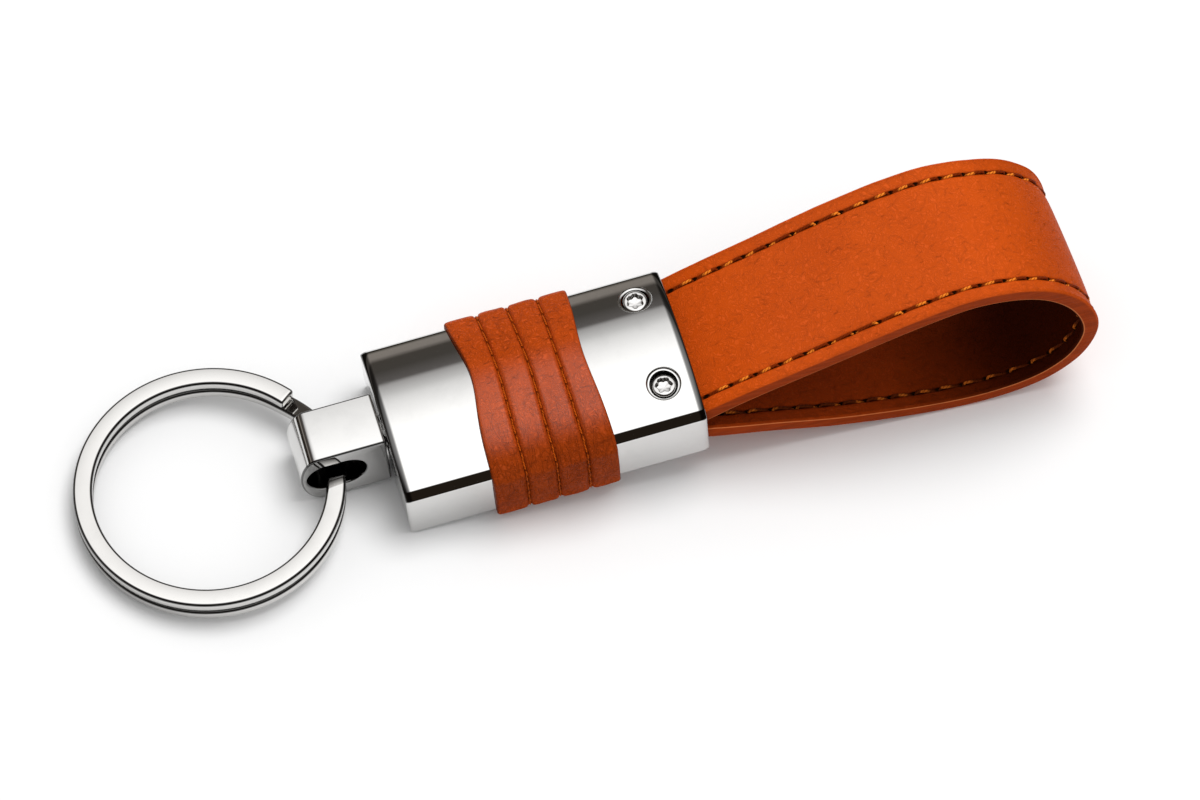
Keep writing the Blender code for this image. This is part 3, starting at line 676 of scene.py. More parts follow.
@dataclass(frozen=True)
class Leather:
    """Finished leather: its colours, its grain, and how its rows of stitching and its edges are marked.

    Attributes:
        name: the material's name.
        light: the hide's lighter colour.
        deep: its darker colour.
        edge: the painted edge's colour.
        seam: where the sewn rows lie.
        edge_from: how far across the painted edge begins, in millimetres.
        edge_to: how far across it is full, in millimetres.
        scale: the grain's cells a metre.
        curl: how far the grain's maze is pushed about.
        depth: the grain's height, in metres.
        roughness: the face's roughness.
        crease_depth: the slanting wrinkles' depth, as a share of the grain's height.
        ridge_highlight: how strongly the grain's ridges are lightened, a painted highlight standing in for
            their glints.
        seam_shade: how strongly its furrows are darkened, painted shade.
        shine: the specular level.
        burnish: the polish's weight.
        burnished: the middle and half the length of the polished stretch, in millimetres along the piece.
        bend_shade: how strongly the bend is darkened, painted shade where less light reaches.
        bend: the middle and half the length of the bend's painted shade, in millimetres along the piece.
        rim_highlight: how strongly a painted highlight shows as a bright line beside the painted edge.
        rim_highlight_colour: that painted highlight's colour.
        hole_shade_colour: the painted shade colour of the needle holes.
    """

    name: str
    light: Colour
    deep: Colour
    edge: Colour
    seam: Seam
    edge_from: float
    edge_to: float
    scale: float
    curl: float
    depth: float
    roughness: float = 0.42
    crease_depth: float = 0.0
    ridge_highlight: float = 0.30
    seam_shade: float = 0.10
    shine: float = 0.012
    burnish: float = 0.0
    burnished: tuple[float, float] = (35.0, 30.0)
    bend_shade: float = 0.25
    bend: tuple[float, float] = (56.0, 30.0)
    rim_highlight: float = 0.0
    rim_highlight_colour: Colour = (0.80, 0.24, 0.08)
    hole_shade_colour: Colour = (0.014, 0.004, 0.001)

    def sewn(self, w: Wiring, along: Socket, across: Socket) -> tuple[Socket, Socket]:
        """Masks of the sewn rows' grooves and of the needle holes in them.

        Args:
            w: the material's wiring.
            along: the way along the rows.
            across: the way across them.

        Returns:
            The groove's mask and the holes' mask.
        """
        side = w.math("ABSOLUTE", across) if self.seam.mirrored else across
        offsets = [w.off(side, row) for row in self.seam.rows]
        near = offsets[0]
        for other in offsets[1:]:
            near = w.math("MINIMUM", near, other)
        groove = w.less(1.0, w.span(near, 0.35 * self.seam.groove, 0.8 * self.seam.groove))
        step = w.math("WRAP", w.less(along, self.seam.phase), 0.5 * self.seam.pitch, -0.5 * self.seam.pitch)
        long = w.times(w.less(step, 0.15 * self.seam.hole), 2.0 / self.seam.hole)
        wide = w.times(near, 1.0 / (0.62 * self.seam.groove))
        away = w.math("ADD", w.math("POWER", w.math("ABSOLUTE", long), 2.0), w.math("POWER", wide, 2.0))
        return groove, w.less(1.0, w.span(away, 0.35, 1.15))

    def build(self, effects: Effects) -> bpy.types.Material:
        """The leather's material: grain with painted highlights and shade, painted shade in the grooves, the
        holes and the bend, a painted edge and some polish.

        Args:
            effects: the shared node groups.

        Returns:
            The material.
        """
        material, w, shader = new_material(self.name)
        along, across = w.surface()
        place = w.place()
        grain = w.node("Group", {"Vector": place, "Scale": self.scale, "Curl": self.curl},
                       node_tree=effects.grain)
        height, mark, seam, cloud = (grain.outputs[k] for k in ("Height", "Mark", "Seam", "Cloud"))
        groove, hole = self.sewn(w, along, across)
        rim = w.span(w.math("ABSOLUTE", across), self.edge_from, self.edge_to)
        face = w.less(1.0, rim)
        colour = w.mixed(w.span(cloud, 0.3, 0.7), self.deep, self.light)
        # Painted light in the grain: furrows darkened as painted shade, ridges lightened as painted
        # highlights standing in for their glints.
        dark = w.times(w.times(seam, face), self.seam_shade)
        colour = w.mixed(dark, colour, shaded(self.deep, 0.35))
        painted_glint = w.times(w.times(mark, face), self.ridge_highlight)
        colour = w.mixed(painted_glint, colour, tuple(min(1.0, 1.55 * c + 0.02) for c in self.light))
        streak = w.noise(w.mapped(place, (250.0, 2600.0, 2600.0)), 1.0, 3.0)
        painted = w.mixed(w.span(streak, 0.3, 0.7), self.edge, shaded(self.edge, 0.72))
        # Painted shade along the bend: the loop's tip and inside, and the band's near shoulder.
        middle, half = self.bend
        shade = w.times(w.span(w.off(along, middle), half, 0.35 * half), self.bend_shade)
        colour = w.mixed(shade, colour, shaded(self.deep, 0.16))
        colour = w.mixed(rim, colour, painted)
        # A painted highlight along the rounded rim beside the painted edge.
        if self.rim_highlight > 0.0:
            off = w.off(w.math("ABSOLUTE", across), self.edge_from + 0.10)
            colour = w.mixed(w.span(off, 0.10, 0.04, 0.0, self.rim_highlight), colour, self.rim_highlight_colour)
        # Painted shade in the sewn grooves.
        colour = w.mixed(w.times(groove, 0.82), colour, shaded(self.deep, 0.26))
        # Painted shade: the needle holes are painted near black, standing in for the shade inside them.
        colour = w.mixed(hole, colour, self.hole_shade_colour)
        rough = w.times(w.span(cloud, 0.3, 0.7), 0.08, self.roughness - 0.04)
        rough = w.times(seam, 0.10, rough)
        middle, half = self.burnished
        polish = w.times(w.span(w.off(along, middle), half, 0.4 * half), w.times(face, self.burnish))
        total = w.times(height, w.times(face, 0.85, 0.15))
        if self.crease_depth > 0.0:
            total = w.less(total, w.times(self.folds(w, place), self.crease_depth))
        total = w.less(total, w.times(hole, 2.0))
        w.feed(shader, {"Base Color": colour, "Roughness": w.times(groove, 0.25, rough),
                        "Specular IOR Level": self.shine, "Coat Roughness": self.roughness,
                        "Coat Weight": w.times(polish, w.less(1.0, groove)),
                        "Normal": w.bump(total, self.depth)})
        return material

    def folds(self, w: Wiring, place: Socket) -> Socket:
        """Long slanting wrinkles, gathered where the leather bends over the near shoulder.

        Args:
            w: the material's wiring.
            place: object coordinates.

        Returns:
            The wrinkles' depth.
        """
        slanted = w.mapped(place, (1300.0, 330.0, 500.0), (0.0, 0.0, 0.45))
        lines = w.off(w.noise(slanted, 1.0, 2.5, 0.55, 0.6), 0.5)
        fold = w.less(1.0, w.span(lines, 0.0, 0.05))
        y = w.node("SeparateXYZ", {0: place}).outputs["Y"]
        return w.times(fold, w.span(y, 1.0 * MM, -7.0 * MM))


@dataclass(frozen=True)
class Thread:
    """Waxed two-strand thread, with painted highlights on its strands and painted shade between them, and
    painted shade where a stitch sinks towards its next hole.

    Attributes:
        name: the material's name.
        light: the painted highlight colour, on the strands where the thread stands high.
        deep: the painted shade colour between the strands, and where a stitch sinks.
        twist: strands a millimetre.
        pitch: a stitch's length in millimetres.
        raised: the share of a stitch before which it gets painted shade.
    """

    name: str
    light: Colour = (0.90, 0.25, 0.022)
    deep: Colour = (0.25, 0.018, 0.0006)
    twist: float = 2.1
    pitch: float = 3.1
    raised: float = 0.74

    def build(self, effects: Effects) -> bpy.types.Material:
        """The thread's material.

        Args:
            effects: the shared node groups; not used.

        Returns:
            The material.
        """
        material, w, shader = new_material(self.name)
        along, around = w.surface()
        lay = w.math("ADD", w.times(along, self.twist), w.times(around, 2.0))
        strand = w.math("ABSOLUTE", w.math("SINE", w.times(lay, math.pi)))
        fibre = w.noise(w.mapped(w.place(), (5000.0, 9000.0, 9000.0)), 1.0, 2.0)
        # Painted highlights on the strands' crests and painted shade between them.
        colour = w.mixed(w.span(strand, 0.05, 0.65), self.deep, self.light)
        colour = w.mixed(w.times(fibre, 0.35), colour, shaded(self.light, 0.5))
        # Painted shade where the stitch sinks into its groove and hole.
        step = w.math("FRACT", w.math("DIVIDE", along, self.pitch))
        sunk = w.math("MAXIMUM", w.span(step, self.raised, self.raised - 0.2), w.span(step, 0.94, 1.0))
        colour = w.mixed(w.times(sunk, 0.95), colour, shaded(self.deep, 0.5))
        w.feed(shader, {"Base Color": colour, "Roughness": w.times(fibre, 0.2, 0.42),
                        "Specular IOR Level": 0.04, "Normal": w.bump(strand, 0.07 * MM, 0.8)})
        return material


@dataclass(frozen=True)
class LeatherBoard:
    """Pressed leather fibre between the strap's legs."""

    name: str = "leather_board"
    fibre: Colour = (0.25, 0.10, 0.04)
    fleck: Colour = (0.13, 0.05, 0.02)

    def build(self, effects: Effects) -> bpy.types.Material:
        """The board's material: matted fibres with darker flecks.

        Args:
            effects: the shared node groups.

        Returns:
            The material.
        """
        material, w, shader = new_material(self.name)
        grain = w.node("Group", {"Vector": w.place(), "Scale": 2400.0, "Curl": 0.9}, node_tree=effects.grain)
        fleck = w.span(w.noise(w.place(), 3200.0, 3.0), 0.4, 0.65)
        w.feed(shader, {"Base Color": w.mixed(fleck, self.fibre, self.fleck),
                        "Roughness": w.times(fleck, 0.1, 0.78),
                        "Normal": w.bump(grain.outputs["Height"], 0.08 * MM)})
        return material


@dataclass(frozen=True)
class Tabletop:
    """A plain pale table."""

    name: str = "pale_table"
    dark: Colour = (0.84, 0.84, 0.84)
    light: Colour = (0.86, 0.86, 0.86)

    def build(self) -> bpy.types.Material:
        """The table's material."""
        material, w, shader = new_material(self.name)
        soft = w.noise(w.place(), 9.0, 2.0)
        w.feed(shader, {"Base Color": w.mixed(soft, self.dark, self.light), "Roughness": 0.9,
                        "Specular IOR Level": 0.0})
        return material


STRAP_SEAM = Seam((7.15,), pitch=3.1, groove=0.40, hole=0.95, phase=0.5)


class Finish(Enum):
    """The finishes of the keychain's pieces."""

    BRIGHT = PlatedMetal("bright_plating")
    # Plating with painted shade on its rounded edges, and on the shackle's side faces and slot.
    EDGED = PlatedMetal("edged_plating", painted_shade=0.85)
    # The ring's plating, with painted shade on its wire's rounded corners.
    RING = PlatedMetal("ring_plating", (0.64, 0.63, 0.615), roughness=0.05, smudged=0.05, scratched=0.12,
                       painted_shade=0.9)
    SCREW = PlatedMetal("screw_plating", (0.66, 0.65, 0.64), roughness=0.10, smudged=0.06)
    STEEL = PlainSteel()
    # Unpolished steel for the bores and the strap's cavity, kept dark as painted shade in these recesses.
    BORED = PlainSteel("bored_metal", (0.20, 0.19, 0.18))
    # The strap's bend shade darkens the loop's tip as painted shade.
    STRAP = Leather("strap_leather", (0.53, 0.071, 0.0042), (0.48, 0.061, 0.0034), (0.30, 0.040, 0.006),
                    STRAP_SEAM, 8.95, 9.2, scale=850.0, curl=0.8, depth=0.075 * MM, ridge_highlight=0.24,
                    seam_shade=0.07, burnish=0.12, burnished=(24.0, 22.0), bend_shade=0.26, bend=(54.0, 18.0))
    # The lining's colours are the outer leather's darkened, painted shade for the inside of the loop, with
    # painted shade at its bend and a painted highlight on its rim.
    SHADED_LINING = Leather("lining_leather", (0.27, 0.033, 0.0025), (0.20, 0.024, 0.0015), (0.30, 0.040, 0.006),
                     STRAP_SEAM, 9.0, 9.25, scale=850.0, curl=0.8, depth=0.10 * MM, roughness=0.5,
                     ridge_highlight=0.15, bend_shade=0.97, bend=(57.0, 34.0), rim_highlight=0.55)
    # The band's bend shade darkens its near shoulder as painted shade.
    BAND = Leather("band_leather", (0.45, 0.062, 0.006), (0.38, 0.049, 0.004), (0.20, 0.028, 0.003),
                   Seam((0.0, 3.6), 2.2, 0.26, 0.25), 7.0, 7.3, scale=800.0, curl=0.9, depth=0.14 * MM,
                   roughness=0.33, crease_depth=0.6, ridge_highlight=0.32, seam_shade=0.22, burnish=0.9,
                   burnished=(3.2, 6.5), bend_shade=0.42, bend=(13.5, 8.0))
    STRAP_THREAD = Thread("strap_thread")
    # The inner rows' thread is the same thread darkened as painted shade for the inside of the loop.
    SHADED_LINING_THREAD = Thread("lining_thread", (0.50, 0.12, 0.012), (0.16, 0.022, 0.002))
    # The band's thread, darkened as painted shade for lying deep in the grooves.
    BAND_THREAD = Thread("band_thread", (0.52, 0.090, 0.006), (0.20, 0.020, 0.001), twist=2.6, pitch=2.2,
                         raised=0.20)
    BOARD = LeatherBoard()


@dataclass
class Workshop:
    """Makes each finish once and dresses, places and reports the pieces."""

    frame: dict
    effects: Effects = field(default_factory=Effects)
    made: dict[Finish, bpy.types.Material] = field(default_factory=dict)

    def material(self, finish: Finish) -> bpy.types.Material:
        """The material of a finish."""
        if finish not in self.made:
            self.made[finish] = finish.value.build(self.effects)
        return self.made[finish]

    def add(self, piece: Piece, finish: Finish, body: Body, slot: str, *nodes: str) -> Piece:
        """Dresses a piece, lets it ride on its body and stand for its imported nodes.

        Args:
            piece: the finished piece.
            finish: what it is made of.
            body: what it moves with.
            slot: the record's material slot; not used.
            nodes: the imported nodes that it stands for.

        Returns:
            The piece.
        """
        if not piece.data.materials:
            piece.data.materials.append(self.material(finish))
        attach(piece, body.value)
        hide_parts(*nodes)
        LOG.info("%s: %d faces, for %s", piece.name, len(piece.data.polygons), ", ".join(nodes))
        return piece

    def repaint(self, node: str, finish: Finish) -> None:
        """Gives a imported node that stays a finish."""
        for slot in self.frame["nodes"][node].material_slots:
            slot.material = self.material(finish)
        LOG.info("%s: kept, with %s", node, finish.value.name)


@dataclass
class Assembly:
    """A sub-assembly of the keychain, with the workshop that dresses its pieces."""

    shop: Workshop


def cut(piece: Piece, tools: Sequence[Piece]) -> Piece:
    """Takes tools out of a piece, then takes up the slivers and the idle points that the cuts leave.

    A point with only two edges is idle, and would leave two faces back to back.

    Args:
        piece: what is cut.
        tools: closed objects, which are used up.

    Returns:
        The same piece, with the cuts in its mesh.
    """
    for tool in tools:
        step = piece.modifiers.new(tool.name, "BOOLEAN")
        step.operation, step.solver = "DIFFERENCE", "EXACT"
        step.object, step.material_mode = tool, "TRANSFER"
    bpy.context.view_layer.update()
    result = bpy.data.meshes.new_from_object(piece.evaluated_get(bpy.context.evaluated_depsgraph_get()))
    shape = bmesh.new()
    shape.from_mesh(result)
    bmesh.ops.dissolve_degenerate(shape, dist=SLIVER, edges=shape.edges)
    shape.to_mesh(result)
    ends = np.empty(2 * len(result.edges), dtype=np.int32)
    result.edges.foreach_get("vertices", ends)
    shape.verts.ensure_lookup_table()
    idle = [shape.verts[int(k)] for k in np.flatnonzero(np.bincount(ends) == 2)]
    bmesh.ops.dissolve_verts(shape, verts=idle)
    shape.to_mesh(result)
    shape.free()
    piece.modifiers.clear()
    piece.data = result
    for tool in tools:
        bpy.data.objects.remove(tool, do_unlink=True)
    return piece


def block_skin(low: Sequence[float], high: Sequence[float], edge: float, steps: int = 4) -> Skin:
    """A block with rounded edges along X: a rounded oblong carried from end to end, with rounded ends.

    Args:
        low: the block's lowest corner.
        high: its highest corner.
        edge: the radius of every edge.
        steps: fillet points, less one.

    Returns:
        The skin.
    """
    corners = np.array([[high[1], low[2]], [high[1], high[2]], [low[1], high[2]], [low[1], low[2]]])
    outline, outward = rounded_outline(corners, edge, steps)
    return capped_skin(outline, outward, low[0], high[0], edge, edge, steps)


def capped_skin(outline: Array, outward: Array, start: float, end: float, reach: float, inset: float,
                steps: int) -> Skin:
    """An outline carried along X, drawn in at both ends by a quarter ellipse.

    Args:
        outline: closed outline as (y, z).
        outward: its outward directions.
        start: where it starts along X.
        end: where it ends.
        reach: how far each end's rounding goes along X.
        inset: how far it draws the outline in.
        steps: points in each quarter ellipse, less one.

    Returns:
        The skin, whose first coordinate is one on the ends' roundings and whose second one is one on its top.
    """
    fall, climb = eased_edge(1.0, steps + 1)
    x = np.concatenate([start + reach * climb, end - reach * climb[::-1]])
    drawn = inset * np.concatenate([fall, fall[::-1]])
    ring = outline[None, :, :] - drawn[:, None, None] * outward[None, :, :]
    grid = np.concatenate([np.repeat(x[:, None, None], len(outline), axis=1), ring], axis=2)
    # Where the plating reads these coordinates, their product is one on the ends' roundings over the top,
    # where its painted shade darkens the housing.
    rounded = np.sin(2.0 * quarter(steps + 1))
    upward = np.clip(1.6 * np.append(outward[:, 1], outward[0, 1]), 0.0, 1.0)
    return grid_skin(grid, np.concatenate([rounded, rounded[::-1]]), upward)


@dataclass
class Housing(Assembly):
    """The plated shell with an arched top, a flat underside, sloping shoulders and a cavity for the strap."""

    length: float = 36.0 * MM
    width: float = 20.6 * MM
    side: float = 7.3 * MM
    shoulder: float = 0.9 * MM
    crown_rise: float = 1.8 * MM
    corner: float = 0.36 * MM
    end_reach: float = 1.0 * MM
    end_inset: float = 0.34 * MM
    cavity_half: float = 9.45 * MM
    cavity_top: float = 7.62 * MM
    cavity_floor: float = 1.0 * MM
    cavity_start: float = 4.0 * MM
    cavity_edge: float = 0.25 * MM
    far_shoulder: float = 0.35 * MM
    swivel_height: float = 5.5 * MM
    swivel_bore: float = 1.6 * MM
    wall: float = 2.0 * MM
    pocket_radius: float = 3.1 * MM
    pocket_end: float = 6.5 * MM
    overrun: float = 1.0 * MM
    match_gap: float = 0.15 * MM
    match_turn: float = 0.97
    match_upward: float = 0.3

    @property
    def arch_half(self) -> float:
        """Half the arch's width, between the shoulders."""
        return 0.5 * self.width - self.shoulder

    @property
    def arch_foot(self) -> float:
        """The height at which the arch starts."""
        return self.side + self.shoulder

    @property
    def arch_radius(self) -> float:
        """The arch's radius, from its half width and its rise."""
        return (self.arch_half ** 2 + self.crown_rise ** 2) / (2.0 * self.crown_rise)

    @property
    def arch_centre(self) -> float:
        """The height of the arch's centre."""
        return self.arch_foot + self.crown_rise - self.arch_radius

    def arch_at(self, y: float) -> float:
        """The height of the arched top at a place across the housing."""
        return self.arch_centre + math.sqrt(self.arch_radius ** 2 - y ** 2)

    def outline(self, corner: float, arch_steps: int, corner_steps: int) -> Lines:
        """The section across the housing, from the underside's +Y corner over the top to its -Y one.

        Args:
            corner: the radius of every corner.
            arch_steps: points on the arch, less one.
            corner_steps: points in a corner, less one.

        Returns:
            The points as (y, z) and their outward directions.
        """
        far, near = (self.flank(width, corner, corner_steps) for width in (self.far_shoulder, self.shoulder))
        angle = np.linspace(far[2], -near[2], arch_steps + 1)[1:-1]
        arch_out = np.stack([np.sin(angle), np.cos(angle)], axis=1)
        arch = np.array([0.0, self.arch_centre]) + self.arch_radius * arch_out
        flip = np.array([-1.0, 1.0])
        return (np.vstack([far[0], arch, near[0][::-1] * flip]),
                np.vstack([far[1], arch_out, near[1][::-1] * flip]))

    def flank(self, shoulder: float, corner: float, steps: int) -> tuple[Array, Array, float]:
        """The section's +Y side, from the underside over the side and the shoulder to the arch.

        Args:
            shoulder: the shoulder's width.
            corner: the radius of every corner.
            steps: points in a corner, less one.

        Returns:
            The points, their outward directions, and the arch's bearing where the last corner ends.
        """
        half = 0.5 * self.width
        reach = math.asin((half - shoulder) / self.arch_radius)
        foot = np.array([half - shoulder, self.arch_at(half - shoulder)])
        low, waist = np.array([half, 0.0]), np.array([half, foot[1] - shoulder])
        beyond = foot + np.array([-math.cos(reach), math.sin(reach)])
        parts = [rounded_corner(np.zeros(2), low, waist, corner, steps),
                 rounded_corner(low, waist, foot, corner, steps),
                 rounded_corner(waist, foot, beyond, corner, steps)]
        spread = corner * math.tan(0.125 * math.pi - 0.5 * reach) / self.arch_radius
        return np.vstack([p for p, _ in parts]), np.vstack([n for _, n in parts]), reach - spread

    def build(self, screws: "ClampScrews") -> None:
        """Makes the shell, with the strap's cavity, the swivel's bore and the screws' counterbores.

        Args:
            screws: the screws that need room.
        """
        outline, outward = self.outline(self.corner, 150, 8)
        shell = capped_skin(outline, outward, 0.0, self.length, self.end_reach, self.end_inset, 10)
        shell = shell.mesh("housing_shell")
        shell.data.materials.append(self.shop.material(Finish.EDGED))
        cavity = block_skin((self.cavity_start, -self.cavity_half, self.cavity_floor),
                            (self.length + self.overrun, self.cavity_half, self.cavity_top), self.cavity_edge)
        bore = [(0.0, -self.overrun), (self.swivel_bore, -self.overrun), (self.swivel_bore, self.wall),
                (self.pocket_radius, self.wall), (self.pocket_radius, self.pocket_end),
                (0.0, self.pocket_end)]
        swivel = turned_skin(bore, (0.0, 0.0, self.swivel_height), 0)
        bores = [screws.counterbore(y, self.arch_at(y)) for y in screws.places]
        rims = [screws.dished(y, self.arch_at(y), math.asin(y / self.arch_radius)) for y in screws.places]
        tools = [skin.mesh("housing_tool") for skin in (cavity, swivel, *bores, *rims)]
        for number, tool in enumerate(tools):
            # The cut faces of the cavity and bores take the dark bored finish, painted shade in the recesses;
            # the dished rims stay bright.
            finish = Finish.BRIGHT if number >= len(tools) - len(rims) else Finish.BORED
            tool.data.materials.append(self.shop.material(finish))
        shell = cut(shell, tools)
        self.smoothed(shell, outline, outward)
        self.shop.add(shell, Finish.EDGED, Body.HOUSING, "bright_metal", "housing")

    def smoothed(self, shell: Piece, outline: Array, outward: Array) -> None:
        """Gives the shell's skin the exact directions of its outline, so that its reflections run straight.

        A corner of a face takes the direction of the nearest outline point where it lies between the ends'
        roundings, on the outline, and the face looks that way and upward.

        Args:
            shell: the cut shell.
            outline: the outline's points.
            outward: their directions.
        """
        data = shell.data
        data.shade_smooth()
        data.set_sharp_from_angle(angle=math.radians(30.0))
        points = np.empty(3 * len(data.vertices))
        data.vertices.foreach_get("co", points)
        here = (points.reshape(-1, 3) - np.array([REST.x, REST.y, REST.z])) @ REST.matrix()
        loops = np.empty(len(data.loops), dtype=np.int32)
        data.loops.foreach_get("vertex_index", loops)
        normals = np.empty(3 * len(data.loops))
        data.corner_normals.foreach_get("vector", normals)
        normals = normals.reshape(-1, 3)
        sizes = np.empty(len(data.polygons), dtype=np.int32)
        data.polygons.foreach_get("loop_total", sizes)
        faces = np.empty(3 * len(data.polygons))
        data.polygons.foreach_get("normal", faces)
        facing = np.repeat(faces.reshape(-1, 3) @ REST.matrix(), sizes, axis=0)
        apart = (here[:, None, 1] - outline[:, 0]) ** 2 + (here[:, None, 2] - outline[:, 1]) ** 2
        near, gap = apart.argmin(axis=1)[loops], np.sqrt(apart.min(axis=1))[loops]
        skin = np.column_stack([np.zeros(len(near)), outward[near]])
        reach = self.end_reach - SLIVER
        on_skin = (here[loops, 0] > reach) & (here[loops, 0] < self.length - reach) & (gap < self.match_gap)
        on_skin &= np.einsum("ij,ij->i", facing, skin) > self.match_turn
        on_skin &= outward[near][:, 1] > self.match_upward
        normals[on_skin] = REST.turn(skin[on_skin])
        data.normals_split_custom_set(normals.tolist())


@dataclass
class ClampScrews(Assembly):
    """The two pan-head socket screws that clamp the strap in the housing."""

    x: float = 32.25 * MM
    places: tuple[float, float] = (6.45 * MM, -5.35 * MM)
    head: float = 1.52 * MM
    head_height: float = 1.2 * MM
    shank: float = 1.0 * MM
    socket: float = 0.98 * MM
    socket_depth: float = 0.7 * MM
    bore: float = 1.68 * MM
    rim: float = 2.06 * MM
    dish: float = 0.26 * MM
    sunk: float = 0.30 * MM
    tip: float = 0.3 * MM
    tip_bevel: float = 0.3 * MM
    gap: float = 0.1 * MM
    head_round: float = 0.42 * MM
    head_bevel: float = 0.1 * MM
    socket_bevel: float = 0.05 * MM
    lobe_share: float = 0.115
    overrun: float = 2.0 * MM
    strap_top: float = 9.0 * MM

    def counterbore(self, y: float, top: float) -> Skin:
        """The tool that makes room for one screw: a bore for the shank and a wider one for the head.

        Args:
            y: the screw's place across the housing.
            top: the height of the housing there.

        Returns:
            The tool's skin.
        """
        seat = top - self.sunk - self.head_height - self.gap
        low, wide = -0.5 * self.overrun, self.shank + self.gap
        profile = [(0.0, low), (wide, low), (wide, seat), (self.bore, seat), (self.bore, top + self.overrun),
                   (0.0, top + self.overrun)]
        return turned_skin(profile, (self.x, y, 0.0), 2)

    def dished(self, y: float, top: float, lean: float) -> Skin:
        """The tool for the dished rim of one counterbore, square to the arched top.

        Args:
            y: the screw's place across the housing.
            top: the height of the housing there.
            lean: how far the arch leans there, towards +Y.

        Returns:
            The tool's skin.
        """
        arc = quarter(8)[::-1]
        bowl = np.stack([self.bore + (self.rim - self.bore) * np.cos(arc), -self.dish * np.sin(arc)], axis=1)
        profile = np.vstack([(0.0, -self.dish), bowl, (self.rim, self.overrun), (0.0, self.overrun)])
        skin = turned_skin(profile, (0.0, 0.0, 0.0), 2)
        cos, sin = math.cos(lean), math.sin(lean)
        turn = np.array([[1.0, 0.0, 0.0], [0.0, cos, sin], [0.0, -sin, cos]])
        skin.points = skin.points @ turn.T + np.array([self.x, y, top])
        return skin

    def skin(self, y: float, top: float, turned: float, steps: int = 96) -> Skin:
        """One screw as a grid of rings: a six-lobed socket, a pan head, and a shank with a bevelled tip.

        The socket's radius swings six times a turn about its mean, and fades into the round head.

        Args:
            y: its place across the housing.
            top: the height of the head's top.
            turned: how far the socket is turned.
            steps: points in a ring.

        Returns:
            The skin.
        """
        angle = np.linspace(0.0, TURN, steps, endpoint=False)
        lobes = 1.0 + self.lobe_share * np.cos(6.0 * (angle - turned))
        seat = top - self.head_height
        rows = [(0.25 * self.socket, top - self.socket_depth - self.head_bevel, 0.3),
                (0.80 * self.socket, top - self.socket_depth, 1.0),
                (0.92 * self.socket, top - self.socket_bevel, 1.0), (self.socket, top, 1.0),
                (self.socket + self.socket_bevel, top, 0.7)]
        rows += [(self.head - back, top - down, 0.0) for back, down in zip(*eased_edge(self.head_round, 9))]
        rows += [(self.head, seat + self.head_bevel, 0.0), (self.head - self.head_bevel, seat, 0.0),
                 (self.shank, seat, 0.0), (self.shank, self.tip + self.tip_bevel, 0.0),
                 (self.shank - self.tip_bevel, self.tip, 0.0)]
        radius, height, share = np.array(rows).T
        reach = radius[:, None] * (1.0 + share[:, None] * (lobes[None, :] - 1.0))
        grid = np.stack([self.x + reach * np.cos(angle), y + reach * np.sin(angle),
                         np.repeat(height[:, None], steps, axis=1)], axis=2)
        walked = walked_lengths(np.column_stack([radius, height])) / MM
        return grid_skin(grid, walked, np.arange(steps + 1) / steps)

    def hole(self, y: float) -> Skin:
        """The tool for a screw's hole through the leather."""
        wide = self.shank + self.gap
        profile = [(0.0, -self.overrun), (wide, -self.overrun), (wide, self.strap_top), (0.0, self.strap_top)]
        return turned_skin(profile, (self.x, y, 0.0), 2, 32)

    def build(self, housing: Housing) -> None:
        """Makes both screws.

        Args:
            housing: gives the height of the arched top.
        """
        for name, y, turned in (("far", self.places[0], 0.3), ("near", self.places[1], 0.9)):
            skin = self.skin(y, housing.arch_at(y) - self.sunk, turned)
            self.shop.add(skin.mesh("screw_" + name, 35.0), Finish.SCREW, Body.HOUSING, "screw_metal",
                          "clamp_screw_" + name)


@dataclass
class Swivel(Assembly):
    """The collar between the shackle and the housing, and the hidden pin and washer."""

    height: float = 5.5 * MM
    radius: float = 3.0 * MM
    bore: float = 1.6 * MM
    start: float = -0.6 * MM
    end: float = -0.1 * MM
    round: float = 0.12 * MM

    def build(self) -> None:
        """Makes the collar and finishes the pin and the washer."""
        near, far = eased_edge(self.round, 6)
        front = np.stack([self.radius - near, self.start + far], axis=1)
        rear = np.stack([self.radius - far, self.end - near], axis=1)
        profile = np.vstack([(self.bore, self.start), front, rear, (self.bore, self.end)])
        collar = turned_skin(profile, (0.0, 0.0, self.height), 0, 120).mesh("collar", 35.0)
        self.shop.add(collar, Finish.BRIGHT, Body.SHACKLE, "bright_metal", "swivel_collar")
        self.shop.repaint("swivel_pin", Finish.STEEL)
        self.shop.repaint("thrust_washer", Finish.STEEL)


